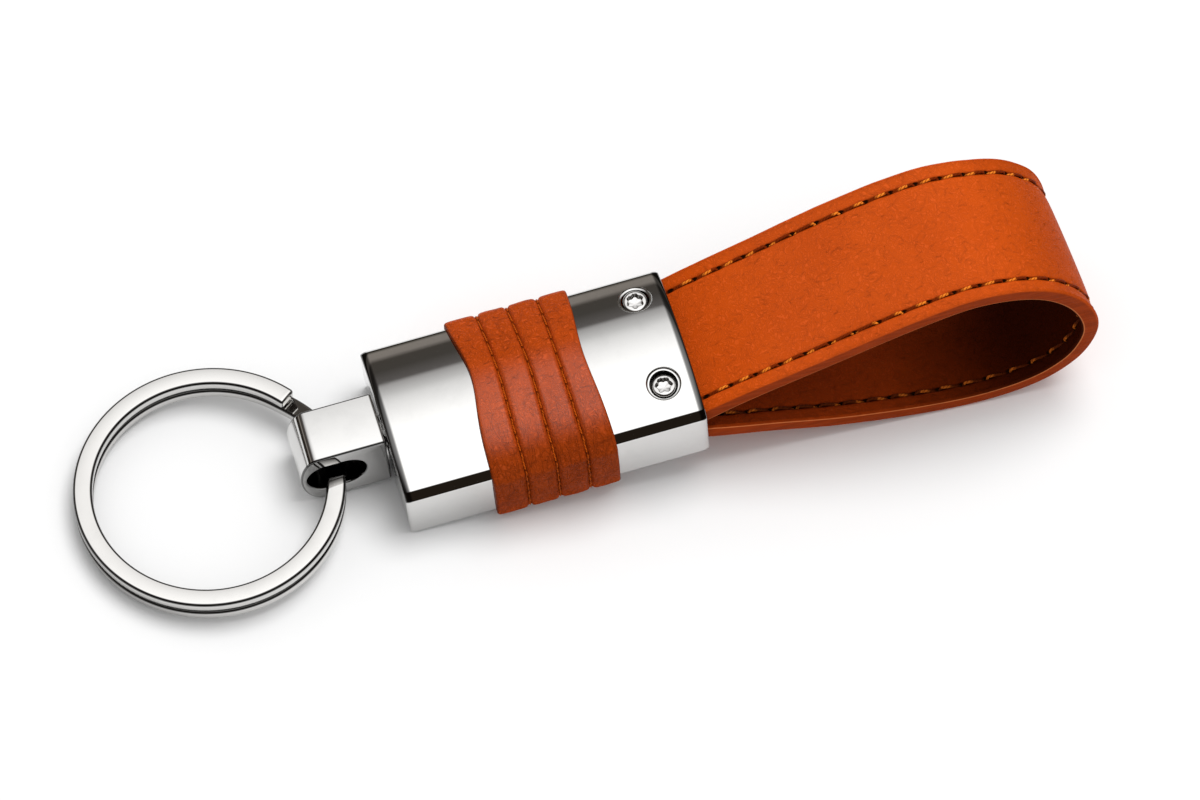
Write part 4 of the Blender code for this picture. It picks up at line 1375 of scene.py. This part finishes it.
@dataclass
class Shackle(Assembly):
    """The swivelling eye: a block with a rounded nose and an oblong slot across it."""

    rear: float = -0.28 * MM
    length: float = 10.42 * MM
    width: float = 6.4 * MM
    far_extra: float = 0.35 * MM
    height: float = 8.9 * MM
    nose: float = 2.4 * MM
    edge: float = 0.26 * MM
    rear_round: float = 0.42 * MM
    centre: float = 5.5 * MM
    slot_length: float = 7.0 * MM
    slot_height: float = 4.9 * MM
    slot_wall: float = 2.67 * MM
    # How much painted shade the side faces and the slot get.
    side_painted_shade: float = 0.35
    slot_painted_shade: float = 0.9

    def outside(self, count: int) -> Array:
        """The block's outline as (x, z), from the nose's tip over the top to the rear and back below.

        Args:
            count: points in the outline.

        Returns:
            The points, evenly spaced, the last one short of the first.
        """
        half = 0.5 * self.height
        x = self.rear - self.length + self.nose
        angle = np.linspace(math.pi, 0.5 * math.pi, 60)
        nose = np.stack([x + self.nose * np.cos(angle), half * np.sin(angle)], axis=1)
        top = np.array([self.rear, half])
        rear, _ = rounded_corner(np.array([self.rear, -half]), top, np.array([x, half]), self.rear_round, 8)
        upper = np.vstack([nose, rear[::-1]])
        lower = (upper * np.array([1.0, -1.0]))[::-1]
        return resampled(np.vstack([upper, lower]), count)[:-1] + np.array([0.0, self.centre])

    def slot(self, outside: Array) -> Array:
        """The slot's outline, one point for each of the block's, in the same direction from the middle.

        Args:
            outside: the block's outline.

        Returns:
            The points.
        """
        radius = 0.5 * self.slot_height
        rear = self.rear - self.slot_wall - radius
        front = self.rear - self.slot_wall - self.slot_length + radius
        half_turn = np.linspace(0.0, math.pi, 61)
        left = np.stack([front - radius * np.sin(half_turn), -radius * np.cos(half_turn)], axis=1)
        right = np.stack([rear + radius * np.sin(half_turn), radius * np.cos(half_turn)], axis=1)
        loop = np.vstack([left[30:], right, left[:31]])
        return resampled(loop, len(outside))[:-1] + np.array([0.0, self.centre])

    def build(self) -> None:
        """Makes the eye as one closed grid: its outline carried over the edge, through the slot and back."""
        outer = self.outside(480)
        inner = self.slot(outer)
        down, back = eased_edge(self.edge, 7)
        out_dir, in_dir = self.sideways(outer), self.sideways(inner)
        lines = [outer - b * out_dir for b in back] + [inner + b * in_dir for b in back[::-1]]
        level = 0.5 * self.width - np.concatenate([down, down[::-1]])
        flat = np.stack(lines + lines[::-1])
        y = np.concatenate([level, -level[::-1]])
        y += self.far_extra * (y > 0.0)
        grid = np.stack([flat[..., 0], np.broadcast_to(y[:, None], flat.shape[:2]), flat[..., 1]], axis=2)
        # Painted shade by row, read by the plating: none on the outer face, most along the rounded outer
        # edges, some on the side faces, rising to most in the slot.
        rounded = self.side_painted_shade + (1.0 - self.side_painted_shade) * np.sin(2.0 * quarter(7))
        rounded[0] = 0.0
        half_way = np.concatenate([rounded, np.linspace(self.side_painted_shade, self.slot_painted_shade, 7)])
        painted_shade = np.concatenate([half_way, half_way[::-1], half_way[:1]])
        eye = grid_skin(grid, painted_shade, np.ones(len(outer) + 1), wrap_rows=True).mesh("shackle_eye", 40.0)
        self.shop.add(eye, Finish.EDGED, Body.SHACKLE, "bright_metal", "shackle")

    @staticmethod
    def sideways(line: Array) -> Array:
        """The outward directions of a closed outline that is walked clockwise as seen with x to the right."""
        slope = np.roll(line, -1, axis=0) - np.roll(line, 1, axis=0)
        slope /= np.linalg.norm(slope, axis=1)[:, None]
        return np.stack([-slope[:, 1], slope[:, 0]], axis=1)


@dataclass
class SplitRing(Assembly):
    """The flat two-turn split ring, hanging in the shackle's slot with its far side on the table."""

    outer_radius: float = 15.66 * MM
    wire_width: float = 2.25 * MM
    wire_thickness: float = 1.4 * MM
    edge: float = 0.36 * MM
    pitch: float = 1.82 * MM
    overrun: float = math.radians(3.0)
    hinge: Triple = (-6.6 * MM, 0.0, 5.85 * MM)
    tilt: float = math.radians(3.129042207)
    centre: Triple = (-14.385 * MM, -0.87 * MM, -1.0940258 * MM)
    start: float = math.radians(15.0)
    climb: float = math.radians(22.0)
    ease: float = math.radians(6.0)
    end_gap: float = math.radians(1.5)
    end_share: float = 0.94
    overrun_from: float = math.radians(600.0)
    overrun_over: float = math.radians(90.0)

    def path(self, steps: int) -> Lines:
        """The wire's middle line: a lower turn, a short climb that starts and ends gently, and an upper turn.

        Args:
            steps: points in the whole line, less one.

        Returns:
            The bearings about the ring's middle and the heights above it.
        """
        turn = TURN - self.climb - self.end_gap
        angle = np.linspace(0.0, 2.0 * turn + self.climb, steps + 1)
        share = smooth_share(angle, turn - self.ease, turn + self.climb + self.ease)
        return self.start - angle, self.pitch * (share - 0.5)

    def section(self) -> Lines:
        """The wire's section with rounded corners, as (out, up), and its outward directions."""
        half_w, half_t = 0.5 * self.wire_width, 0.5 * self.wire_thickness
        corners = np.array([[half_w, -half_t], [half_w, half_t], [-half_w, half_t], [-half_w, -half_t]])
        return rounded_outline(corners, self.edge, 6)

    def build(self) -> None:
        """Makes the ring: the section carried along the line, drawn in at both ends by a quarter ellipse."""
        bearing, height = self.path(900)
        outline, outward = self.section()
        middle = self.outer_radius - 0.5 * self.wire_width
        drawn, back = (way[:-1] for way in eased_edge(self.edge, 6))
        inset = self.end_share * np.concatenate([drawn, np.zeros(len(bearing)), drawn[::-1]])
        back = back / middle
        ahead = np.clip((np.abs(bearing - bearing[0]) - self.overrun_from) / self.overrun_over, 0.0, 1.0)
        bearing = bearing - self.overrun * ahead
        inner = bearing + self.edge / middle * np.linspace(-1.0, 1.0, len(bearing))
        bearing = np.concatenate([bearing[0] - back, inner, bearing[-1] + back[::-1]])
        height = np.concatenate([np.full(len(back), height[0]), height, np.full(len(back), height[-1])])
        ring = outline[None] - inset[:, None, None] * outward[None]
        out = middle + ring[..., 0]
        local = np.stack([out * np.cos(bearing)[:, None], out * np.sin(bearing)[:, None],
                          ring[..., 1] + height[:, None]], axis=2) + np.array(self.centre)
        cos, sin = math.cos(self.tilt), math.sin(self.tilt)
        turn = np.array([[cos, 0.0, sin], [0.0, 1.0, 0.0], [-sin, 0.0, cos]])
        grid = local @ turn.T + np.array(self.hinge)
        # The second coordinate is one in the middle of each rounded corner of the wire, where the plating's
        # painted shade darkens it.
        bend = np.sin(math.pi * np.linspace(0.0, 1.0, 7))
        around = np.append(np.tile(bend, 4), bend[0])
        ring_piece = grid_skin(grid, np.ones(len(grid)), around).mesh("ring_wire", 45.0)
        self.shop.add(ring_piece, Finish.RING, Body.RING, "ring_metal", "split_ring")


UPPER_LOOP_SHARES = [(0.095, 0.385), (0.288, 0.607), (0.441, 0.795), (0.567, 0.930), (0.683, 1.000),
                     (0.798, 0.915), (0.893, 0.690), (0.966, 0.310)]
LOWER_LOOP_SHARES = [(1.000, -0.090), (0.992, -0.402), (0.945, -0.709), (0.851, -0.930), (0.714, -0.998),
                     (0.546, -0.915), (0.336, -0.700), (0.158, -0.445)]


@dataclass
class LeatherLoop(Assembly):
    """The stitched two-ply strap, folded into a loop, and the filler between its legs."""

    mouth: float = 36.0 * MM
    inset: float = 8.0 * MM
    leg_mid: float = 4.24 * MM
    half_stack: float = 2.82 * MM
    length: float = 47.6 * MM
    rise: float = 10.95 * MM
    drop: float = 13.1 * MM
    half_width: float = 9.0 * MM
    thickness: float = 2.15 * MM
    edge: float = 0.42 * MM
    row: float = 7.15 * MM
    pitch: float = 3.1 * MM
    groove: float = 0.30 * MM
    groove_width: float = 0.24 * MM
    first: float = 0.5 * MM
    crown: float = 0.10 * MM
    thread: float = 0.17 * MM
    near_spread: float = 0.38 * MM
    far_draw: float = 0.73 * MM
    far_knots: Knots = (0.0, 4.0, 11.0, 15.0, 19.0, 26.0, 30.0, 32.5, 34.5, 38.0, 41.6, 44.0, 48.0)
    far_rise: Knots = (0.35, 0.45, 0.90, 1.20, 1.40, 1.30, 1.0, 0.65, 0.55, 0.49, 0.92, 1.12, 1.67)
    far_spread: Knots = (0.33, 0.33, 0.37, 0.43, 0.44, 0.49, 0.52, 0.60, 0.56, 0.50, 0.38, 0.32, 0.2)
    near_sag: float = 0.25 * MM
    filler_half: float = 0.55 * MM
    filler_short: float = 1.0 * MM
    filler_edge: float = 0.2 * MM
    ply_gap: float = 0.008 * MM
    bed: float = 0.10 * MM
    bed_width: float = 0.85 * MM
    seam_band: float = 0.9 * MM
    plain_to: float = 6.0 * MM
    thread_depth: float = 0.17 * MM
    thread_dive: float = 0.50 * MM
    thread_slant: float = 0.16 * MM
    hidden: int = 28

    def outline(self, count: int) -> Array:
        """The strap's outer face in side view, from the upper leg's end round the tip to the lower leg's.

        Args:
            count: points outside the housing, less one.

        Returns:
            The points as (x, z).
        """
        start = [(self.mouth, self.leg_mid + self.half_stack)]
        upper = [(self.mouth + x * self.length, self.leg_mid + z * self.rise) for x, z in UPPER_LOOP_SHARES]
        lower = [(self.mouth + x * self.length, self.leg_mid + z * self.drop) for x, z in LOWER_LOOP_SHARES]
        end = [(self.mouth, self.leg_mid - self.half_stack)]
        loop = resampled(spline_through(np.array(start + upper + lower + end), 60), count)
        inner_x = np.linspace(self.inset, self.mouth, self.hidden + 1)[:-1]
        leg = np.column_stack([inner_x, np.full(self.hidden, self.leg_mid + self.half_stack)])
        back = np.column_stack([inner_x[::-1], np.full(self.hidden, self.leg_mid - self.half_stack)])
        return np.vstack([leg, loop, back])

    def route(self, count: int = 440) -> tuple[Array, Array, Array]:
        """The outer face's line, its outward directions and the way along it from the housing's mouth.

        Args:
            count: points outside the housing, less one.

        Returns:
            The points as (x, z), the directions as (x, z), and the way along in metres.
        """
        line = self.outline(count)
        slope = np.gradient(line, axis=0)
        slope /= np.linalg.norm(slope, axis=1)[:, None]
        outward = np.stack([-slope[:, 1], slope[:, 0]], axis=1)
        walked = walked_lengths(line)
        return line, outward, walked - walked[self.hidden]

    def swayed(self, points: Array) -> Array:
        """Points of the untwisted loop, moved as the leather's own twist and spread move them.

        The far edge of the upper leg stands higher and further out, the tip's far corner is drawn back, the
        near edge of the lower leg stands further out, and that leg sags at the mouth. Each move is a size, or
        the knots' value at the point's place along the loop, times smooth shares of the way across it and of
        the way from one leg to the other.

        Args:
            points: places in the keychain's frame.

        Returns:
            The moved places.
        """
        x, y, z = points[..., 0], points[..., 1], points[..., 2]
        out = (x - self.mouth) / MM
        upper = smooth_share((z - self.leg_mid) / MM, -3.5, 4.5)
        free = smooth_share(out, -3.0, 0.0)
        far = np.clip(0.5 + 0.5 * y / self.half_width, 0.0, 1.0)
        rise = np.interp(out, self.far_knots, self.far_rise) * MM
        spread = np.interp(out, self.far_knots, self.far_spread) * MM
        tip = smooth_share(out, 30.0, 47.6) * smooth_share((z - self.leg_mid) / MM, -12.0, -4.0)
        moved = np.array(points)
        moved[..., 0] -= self.far_draw * far * tip
        moved[..., 1] += spread * upper * free * smooth_share(y / MM, 3.0, 9.0)
        moved[..., 1] -= self.near_spread * (1.0 - upper) * free * smooth_share(-y / MM, 3.0, 9.0)
        moved[..., 2] += rise * upper * free * far
        moved[..., 2] -= self.near_sag * (1.0 - upper) * free * smooth_share(-out, -9.0, 0.0)
        return moved

    def depth_at(self, across: Array, along: Array) -> Array:
        """How far a showing face lies under its plane: a low crown, and grooves pulled deeper at each stitch.

        Args:
            across: places across the strap, one row.
            along: ways along it, one column.

        Returns:
            The depths.
        """
        side = np.abs(across)
        crown = self.crown * np.clip(side / self.row, 0.0, 1.0) ** 2
        off = side - self.row
        pull = 0.72 + 0.28 * np.cos(TURN * (along - self.first) / self.pitch)
        narrow = self.groove * pull * np.exp(-(off / self.groove_width) ** 2)
        broad = self.bed * np.exp(-(off / self.bed_width) ** 2)
        return crown + narrow + broad

    def ply(self, outer: bool) -> Skin:
        """One ply: a section with a showing face, rounded edges and a flat back, carried along the loop.

        Args:
            outer: whether it is the outer ply and not the lining.

        Returns:
            The skin, whose second coordinate is the signed way across, counted on past the face at the edges.
        """
        line, outward, along = self.route()
        fine = self.row + np.linspace(-self.seam_band, self.seam_band, 25)
        inner = np.concatenate([np.linspace(0.0, self.plain_to, 9), fine])
        edge, half = self.edge, 0.5 * (self.thickness - self.ply_gap)
        back, down = eased_edge(edge, 7)
        width = np.concatenate([inner, self.half_width - back, [self.half_width]])
        level = np.concatenate([np.zeros(len(inner)), down, [half]])
        count = np.concatenate([inner, self.half_width - edge + edge * quarter(7),
                                [self.half_width + half - 0.5 * edge]])
        across = np.concatenate([-count[:0:-1], count])
        y = np.concatenate([-width[:0:-1], width])
        flat = np.abs(y) < self.half_width - edge + 10.0 * SLIVER
        depth = np.concatenate([level[:0:-1], level]) + self.depth_at(y[None, :], along[:, None]) * flat
        depth = np.minimum(depth, half)
        if not outer:
            depth = self.thickness - depth
        spot = line[:, None, :] - depth[..., None] * outward[:, None, :]
        grid = np.stack([spot[..., 0], np.broadcast_to(y, depth.shape), spot[..., 1]], axis=2)
        return grid_skin(self.swayed(grid), along / MM, np.append(across, -across[0]) / MM)

    def seam_path(self, outer: bool, y: float) -> Lines:
        """A thread's line in its groove: it rises out of one hole, runs slanting and dives into the next.

        Args:
            outer: whether it lies on the outer face.
            y: the row's place across.

        Returns:
            The points and their outward directions.
        """
        line, outward, along = self.route(1400)
        count = int((along[-self.hidden - 1] - 2.0 * self.first) / self.pitch)
        places = np.linspace(self.first, self.first + count * self.pitch, 12 * count + 1)
        step = np.linspace(0.0, count, 12 * count + 1) % 1.0
        dip = np.clip(1.0 - np.minimum(step / 0.62, (1.0 - step) / 0.10), 0.0, 1.0)
        depth = self.thread_depth + self.thread_dive * smooth_share(dip, 0.0, 1.0)
        if not outer:
            depth = self.thickness - depth
        out = at_places(places, along, outward)
        spot = at_places(places, along, line) - depth[:, None] * out
        path = np.column_stack([spot[:, 0], y + self.thread_slant * (step - 0.5), spot[:, 1]])
        sign = 1.0 if outer else -1.0
        return self.swayed(path), sign * np.column_stack([out[:, 0], np.zeros(len(out)), out[:, 1]])

    def build(self, screws: ClampScrews) -> None:
        """Makes both plies, the filler and the four rows of stitching, with holes for the screws.

        Args:
            screws: the screws that pass through both legs.
        """
        low = (self.inset, -self.half_width, self.leg_mid - self.filler_half)
        high = (self.mouth - self.filler_short, self.half_width, self.leg_mid + self.filler_half)
        for skin, name, finish, slot, node in (
                (self.ply(True), "strap_outer", Finish.STRAP, "loop_leather", "strap_outer_ply"),
                (self.ply(False), "strap_inner", Finish.SHADED_LINING, "lining_leather", "strap_lining"),
                (block_skin(low, high, self.filler_edge), "filler_board", Finish.BOARD, "filler_board",
                 "strap_filler")):
            piece = skin.mesh(name, 60.0)
            piece.data.materials.append(self.shop.material(finish))
            holes = [screws.hole(y).mesh("screw_hole") for y in screws.places]
            self.shop.add(cut(piece, holes), finish, Body.HOUSING, slot, node)
        for face, outer in (("outer", True), ("inner", False)):
            for side, y in (("far", self.row), ("near", -self.row)):
                path, upright = self.seam_path(outer, y)
                skin = tube_skin(path, upright, self.thread, 8)
                finish = Finish.STRAP_THREAD if outer else Finish.SHADED_LINING_THREAD
                self.shop.add(skin.mesh(f"sewn_{face}_{side}", 180.0), finish, Body.HOUSING, "thread",
                              f"stitch_{face}_{side}")


@dataclass
class LeatherBand(Assembly):
    """The grooved leather band round the housing, with thread in its three grooves."""

    centre: float = 17.8 * MM
    width: float = 14.4 * MM
    thickness: float = 1.0 * MM
    seat: float = 0.12 * MM
    seam: float = 0.4 * MM
    near_lines: Knots = (10.24 * MM, 14.18 * MM, 17.82 * MM, 21.50 * MM, 25.06 * MM)
    crest_drift: Knots = (1.04 * MM, 0.26 * MM, 0.24 * MM, -0.03 * MM, -0.58 * MM)
    crest_middle: Knots = (-2.2 * MM, -1.6 * MM, -1.0 * MM, -0.8 * MM, -0.6 * MM)
    spacing: float = 3.6 * MM
    groove: float = 0.48 * MM
    groove_half: float = 0.27 * MM
    pillow: float = 0.16 * MM
    fullness: float = 0.02 * MM
    edge: float = 0.45 * MM
    thread: float = 0.115 * MM
    pitch: float = 2.2 * MM
    thread_rise: float = 0.07 * MM
    thread_dip: float = 0.20 * MM
    thread_slant: float = 0.08 * MM
    thread_short: float = 0.2 * MM
    measured_at: float = 0.6 * MM
    corner: float = 0.02 * MM
    fall: float = 5.8 * MM
    foot: float = 0.08 * MM
    foot_inset: float = 0.05 * MM
    back_counts: tuple[float, float] = (0.8 * MM, 0.9 * MM)
    wave: float = 0.03 * MM
    wave_length: float = 2.3 * MM
    wave_sway: float = 3.1 * MM
    corner_clear: float = 0.1 * MM
    side_clear: float = 0.3 * MM

    def route(self, housing: Housing) -> Lines:
        """The way round the housing: its outline with sharp corners, each corner turned through on the spot.

        Args:
            housing: what the band is wrapped round.

        Returns:
            The points as (y, z) and the outward directions, from the underside's seam over the top and back.
        """
        outline, outward = housing.outline(self.corner, 110, 14)
        flat = np.linspace(0.5 * self.seam, 0.5 * housing.width - self.corner_clear, 24)
        sides = np.linspace(self.side_clear, housing.side - self.side_clear, 18)
        below, down = np.column_stack([flat, 0.0 * flat]), np.column_stack([0.0 * flat, 0.0 * flat - 1.0])
        right = np.column_stack([np.full(len(sides), 0.5 * housing.width), sides])
        out = np.column_stack([np.ones(len(sides)), np.zeros(len(sides))])
        flip = np.array([-1.0, 1.0])
        points = np.vstack([below, outline[:15], right, outline[15:-15], (right * flip)[::-1], outline[-15:],
                            (below * flip)[::-1]])
        normals = np.vstack([down, outward[:15], out, outward[15:-15], out * flip, outward[-15:], down])
        return points, normals

    def drifted(self, along: Array, walked: Array) -> Array:
        """Places along the housing: the band is drawn in over the crown, and its near side leans to the ring.

        Args:
            along: places across the band's width.
            walked: the way round the housing from the crown's middle, towards the near side.

        Returns:
            The places along X.
        """
        knots = self.spacing * np.array([-2.0, -1.0, 0.0, 1.0, 2.0])
        middle = np.interp(along, knots, self.crest_middle)
        crest = np.exp(-((walked - middle) / self.fall) ** 2)
        near = np.interp(along, knots, self.near_lines)
        return near + crest * np.interp(along, knots, self.crest_drift)

    @staticmethod
    def drawn(base: Array) -> Array:
        """How high the drawn leather stands, as a share: lower over the far shoulder and below.

        Args:
            base: places round the housing as (y, z).

        Returns:
            The shares.
        """
        over = smooth_share(base[:, 0] / MM, 6.0, 10.3) * smooth_share(base[:, 1] / MM, 3.0, 6.0)
        return (1.0 - 0.3 * over) * (1.0 - 0.35 * smooth_share(-base[:, 1] / MM, -3.5, 0.0))

    def height(self, across: Array) -> Array:
        """The showing face's height over the band's back: four pillows between three grooves.

        Args:
            across: places across the band.

        Returns:
            The heights.
        """
        near = np.abs(across[:, None] - self.spacing * np.array([-1.0, 0.0, 1.0])).min(axis=1)
        hump = np.abs((across / self.spacing) % 1.0 - 0.5) * 2.0
        valley = self.groove * np.exp(-(near / self.groove_half) ** 2)
        return self.thickness + self.fullness - self.pillow * hump ** 3 - valley

    def build(self, housing: Housing) -> None:
        """Makes the band and its three threads.

        Args:
            housing: what they are wrapped round.
        """
        base, outward = self.route(housing)
        walked = walked_lengths(base + self.measured_at * outward)
        half, edge, foot = 0.5 * self.width, self.edge, self.foot
        flat = np.linspace(-half + edge, half - edge, 121)
        back, down = (way[1:] for way in eased_edge(edge, 7))
        side = half - back
        lip = self.height(np.array([half - edge]))[0] - down
        width = np.concatenate([[self.foot_inset - half, -half], -side[::-1], flat, side,
                                [half, half - self.foot_inset]])
        level = np.concatenate([[0.0, foot], lip[::-1], self.height(flat), lip, [foot, 0.0]])
        beyond = np.concatenate([half - edge + edge * quarter(7)[1:], half + np.array(self.back_counts)])
        over = np.concatenate([-beyond[::-1], flat, beyond])
        wave = self.wave * np.sin(walked[:, None] / self.wave_length + 9.0 * np.sin(width / self.wave_sway))
        rise = self.seat - foot + level[None, :] + wave * (level[None, :] > 0.5 * self.thickness)
        rise = rise * self.drawn(base)[:, None]
        spot = base[:, None, :] + rise[..., None] * outward[:, None, :]
        middle = 0.5 * walked[-1]
        x = self.drifted(np.broadcast_to(width, rise.shape), walked[:, None] - middle)
        grid = np.stack([x, spot[..., 0], spot[..., 1]], axis=2)
        skin = grid_skin(grid, (walked - middle) / MM, np.append(over, over[0]) / MM)
        band = skin.mesh("band_leather_wrap", 60.0)
        self.shop.add(band, Finish.BAND, Body.HOUSING, "band_leather", "leather_band")
        for number, groove in enumerate((-self.spacing, 0.0, self.spacing), start=1):
            self.sew(housing, number, groove)

    def sew(self, housing: Housing, number: int, groove: float) -> None:
        """Makes the thread in one groove: long stitches that dip at each hole.

        Args:
            housing: what it is wrapped round.
            number: the groove's number.
            groove: its place across the band.
        """
        base, outward = self.route(housing)
        walked = walked_lengths(base + self.measured_at * outward)
        count = int(walked[-1] / self.pitch)
        places = np.linspace(self.thread_short, walked[-1] - self.thread_short, 9 * count + 1)
        step = np.linspace(0.0, count, 9 * count + 1) % 1.0
        dip = np.maximum(0.0, 1.0 - np.minimum(step, 1.0 - step) / 0.2)
        out = at_places(places, walked, outward)
        out /= np.linalg.norm(out, axis=1)[:, None]
        spot = at_places(places, walked, base)
        rise = self.thickness - self.groove + self.thread_rise - self.thread_dip * dip
        spot = spot + (rise * self.drawn(spot))[:, None] * out
        x = self.drifted(groove + self.thread_slant * (step - 0.5), places - 0.5 * walked[-1])
        path = np.column_stack([x, spot])
        upright = np.column_stack([np.zeros(len(out)), out])
        skin = tube_skin(path, upright, self.thread, 7)
        self.shop.add(skin.mesh(f"band_sewn_{number}", 180.0), Finish.BAND_THREAD, Body.HOUSING, "thread",
                      f"band_thread_{number}")


@dataclass
class Studio:
    """The pale table, the soft light and the camera at the photograph's view."""

    lens: float = 180.0
    distance: float = 698.98 * MM
    target: Triple = (25.645 * MM, -0.075 * MM, 0.0)
    azimuth: float = math.radians(-10.657)
    elevation: float = math.radians(61.052)
    roll: float = math.radians(-6.311)
    sensor: float = 36.0
    floor_size: float = 6.0
    ambient: float = 0.68
    lamp_size: float = 0.7
    lamp_power: float = 7.4
    lamp_place: Triple = (0.26, 0.17, 1.02)
    far_panels: tuple[tuple[float, Colour], ...] = (
        (0.00, (0.03, 0.026, 0.02)), (0.27, (0.03, 0.026, 0.02)), (0.30, (0.30, 0.27, 0.24)),
        (0.37, (0.29, 0.26, 0.235)), (0.42, (0.075, 0.066, 0.057)), (0.53, (0.075, 0.068, 0.06)),
        (0.645, (0.14, 0.13, 0.125)), (0.675, (0.48, 0.47, 0.465)), (0.743, (0.75, 0.745, 0.74)),
        (0.793, (1.05, 1.045, 1.04)), (0.879, (1.38, 1.375, 1.37)), (0.966, (1.7, 1.7, 1.69)),
        (1.00, (1.9, 1.9, 1.89)))
    near_panels: tuple[tuple[float, Colour], ...] = (
        (0.00, (0.06, 0.05, 0.04)), (0.40, (0.016, 0.012, 0.009)), (0.47, (0.022, 0.016, 0.011)),
        (0.50, (0.012, 0.009, 0.007)), (0.80, (0.05, 0.045, 0.04)), (0.88, (0.8, 0.79, 0.78)),
        (0.94, (1.6, 1.59, 1.58)), (1.00, (1.9, 1.9, 1.89)))

    def camera(self) -> None:
        """Places the camera: it looks back along a bearing and a height, rolled about its own view."""
        cos, sin = math.cos, math.sin
        back = np.array([sin(self.azimuth) * cos(self.elevation), -cos(self.azimuth) * cos(self.elevation),
                         sin(self.elevation)])
        right = np.array([cos(self.azimuth), sin(self.azimuth), 0.0])
        up = np.cross(back, right)
        turned_right = cos(self.roll) * right + sin(self.roll) * up
        turned_up = cos(self.roll) * up - sin(self.roll) * right
        axes = REST.turn(np.stack([turned_right, turned_up, back]))
        place = REST.place(np.array(self.target) + self.distance * back)
        data = bpy.data.cameras.new("photo_camera")
        data.lens, data.sensor_width, data.clip_start, data.clip_end = self.lens, self.sensor, 0.01, 50.0
        camera = linked("photo_camera", data)
        camera.matrix_world = placing(axes, place)
        bpy.context.scene.camera = camera

    def table(self, height: float) -> None:
        """A wide pale sheet under the keychain.

        Args:
            height: the table's height.
        """
        half = 0.5 * self.floor_size
        data = bpy.data.meshes.new("table")
        corners = ((-half, -half), (half, -half), (half, half), (-half, half))
        data.from_pydata([(x, y, height) for x, y in corners], [], [(0, 1, 2, 3)])
        data.materials.append(Tabletop().build())
        table = linked("table", data)
        table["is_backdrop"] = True

    @staticmethod
    def banded(w: Wiring, rise: Socket, panels: Sequence[tuple[float, Colour]]) -> Socket:
        """Bands of light by height.

        Args:
            w: the world's wiring.
            rise: the height of the direction that is looked in, from zero at the horizon to one overhead.
            panels: where each colour stands in the height.

        Returns:
            The colour.
        """
        ramp = w.node("ValToRGB", {"Fac": rise})
        elements = ramp.color_ramp.elements
        for number, (place, colour) in enumerate(panels):
            stop = elements[number] if number < 2 else elements.new(place)
            stop.position, stop.color = place, (*colour, 1.0)
        return ramp.outputs["Color"]

    def surroundings(self) -> None:
        """The room: broad soft panels overhead in a dark surround, one set of bands for each side.

        The plating reflects the bands, and matt surfaces get an even light from all round instead.
        """
        world = bpy.data.worlds.new("studio")
        bpy.context.scene.world = world
        world.use_nodes = True
        w = Wiring(world.node_tree)
        parts = w.node("SeparateXYZ", {0: w.node("TexCoord").outputs["Generated"]})
        near = self.banded(w, parts.outputs["Z"], self.near_panels)
        far = self.banded(w, parts.outputs["Z"], self.far_panels)
        panels = w.mixed(w.span(parts.outputs["Y"], -0.25, 0.25), near, far)
        even = w.node("LightPath").outputs["Is Diffuse Ray"]
        colour = w.mixed(even, panels, (self.ambient, self.ambient, self.ambient))
        w.feed(world.node_tree.nodes["Background"], {"Color": colour, "Strength": 1.0})

    def lamps(self) -> None:
        """A soft key light high overhead, a little towards the loop and the far side."""
        data = bpy.data.lights.new("key_panel", "AREA")
        data.shape, data.size, data.energy = "DISK", self.lamp_size, self.lamp_power
        lamp = linked("key_panel", data)
        lamp.visible_glossy = False
        place = np.array(self.lamp_place)
        back = place / np.linalg.norm(place)
        right = np.cross([0.0, 0.0, 1.0], back)
        right /= np.linalg.norm(right)
        lamp.matrix_world = placing(np.stack([right, np.cross(back, right), back]), place)

    def build(self, floor: float) -> None:
        """Sets up the whole studio.

        Args:
            floor: the height of the table.
        """
        self.camera()
        self.table(floor)
        self.surroundings()
        self.lamps()
        bpy.context.scene.view_settings.view_transform = "Standard"
        LOG.info("studio: table at %.3f mm", floor / MM)


def main() -> None:
    """Builds and dresses the keychain's sub-assemblies in order, then the studio."""
    logging.basicConfig(level=logging.INFO, format="%(name)s %(message)s")
    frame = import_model()
    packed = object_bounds()
    shop = Workshop(frame)
    screws = ClampScrews(shop)
    housing = Housing(shop)
    housing.build(screws)
    screws.build(housing)
    Swivel(shop).build()
    Shackle(shop).build()
    SplitRing(shop).build()
    LeatherLoop(shop).build(screws)
    LeatherBand(shop).build(housing)
    Studio().build(float(packed[0][2]))


if __name__ == "__main__":
    main()
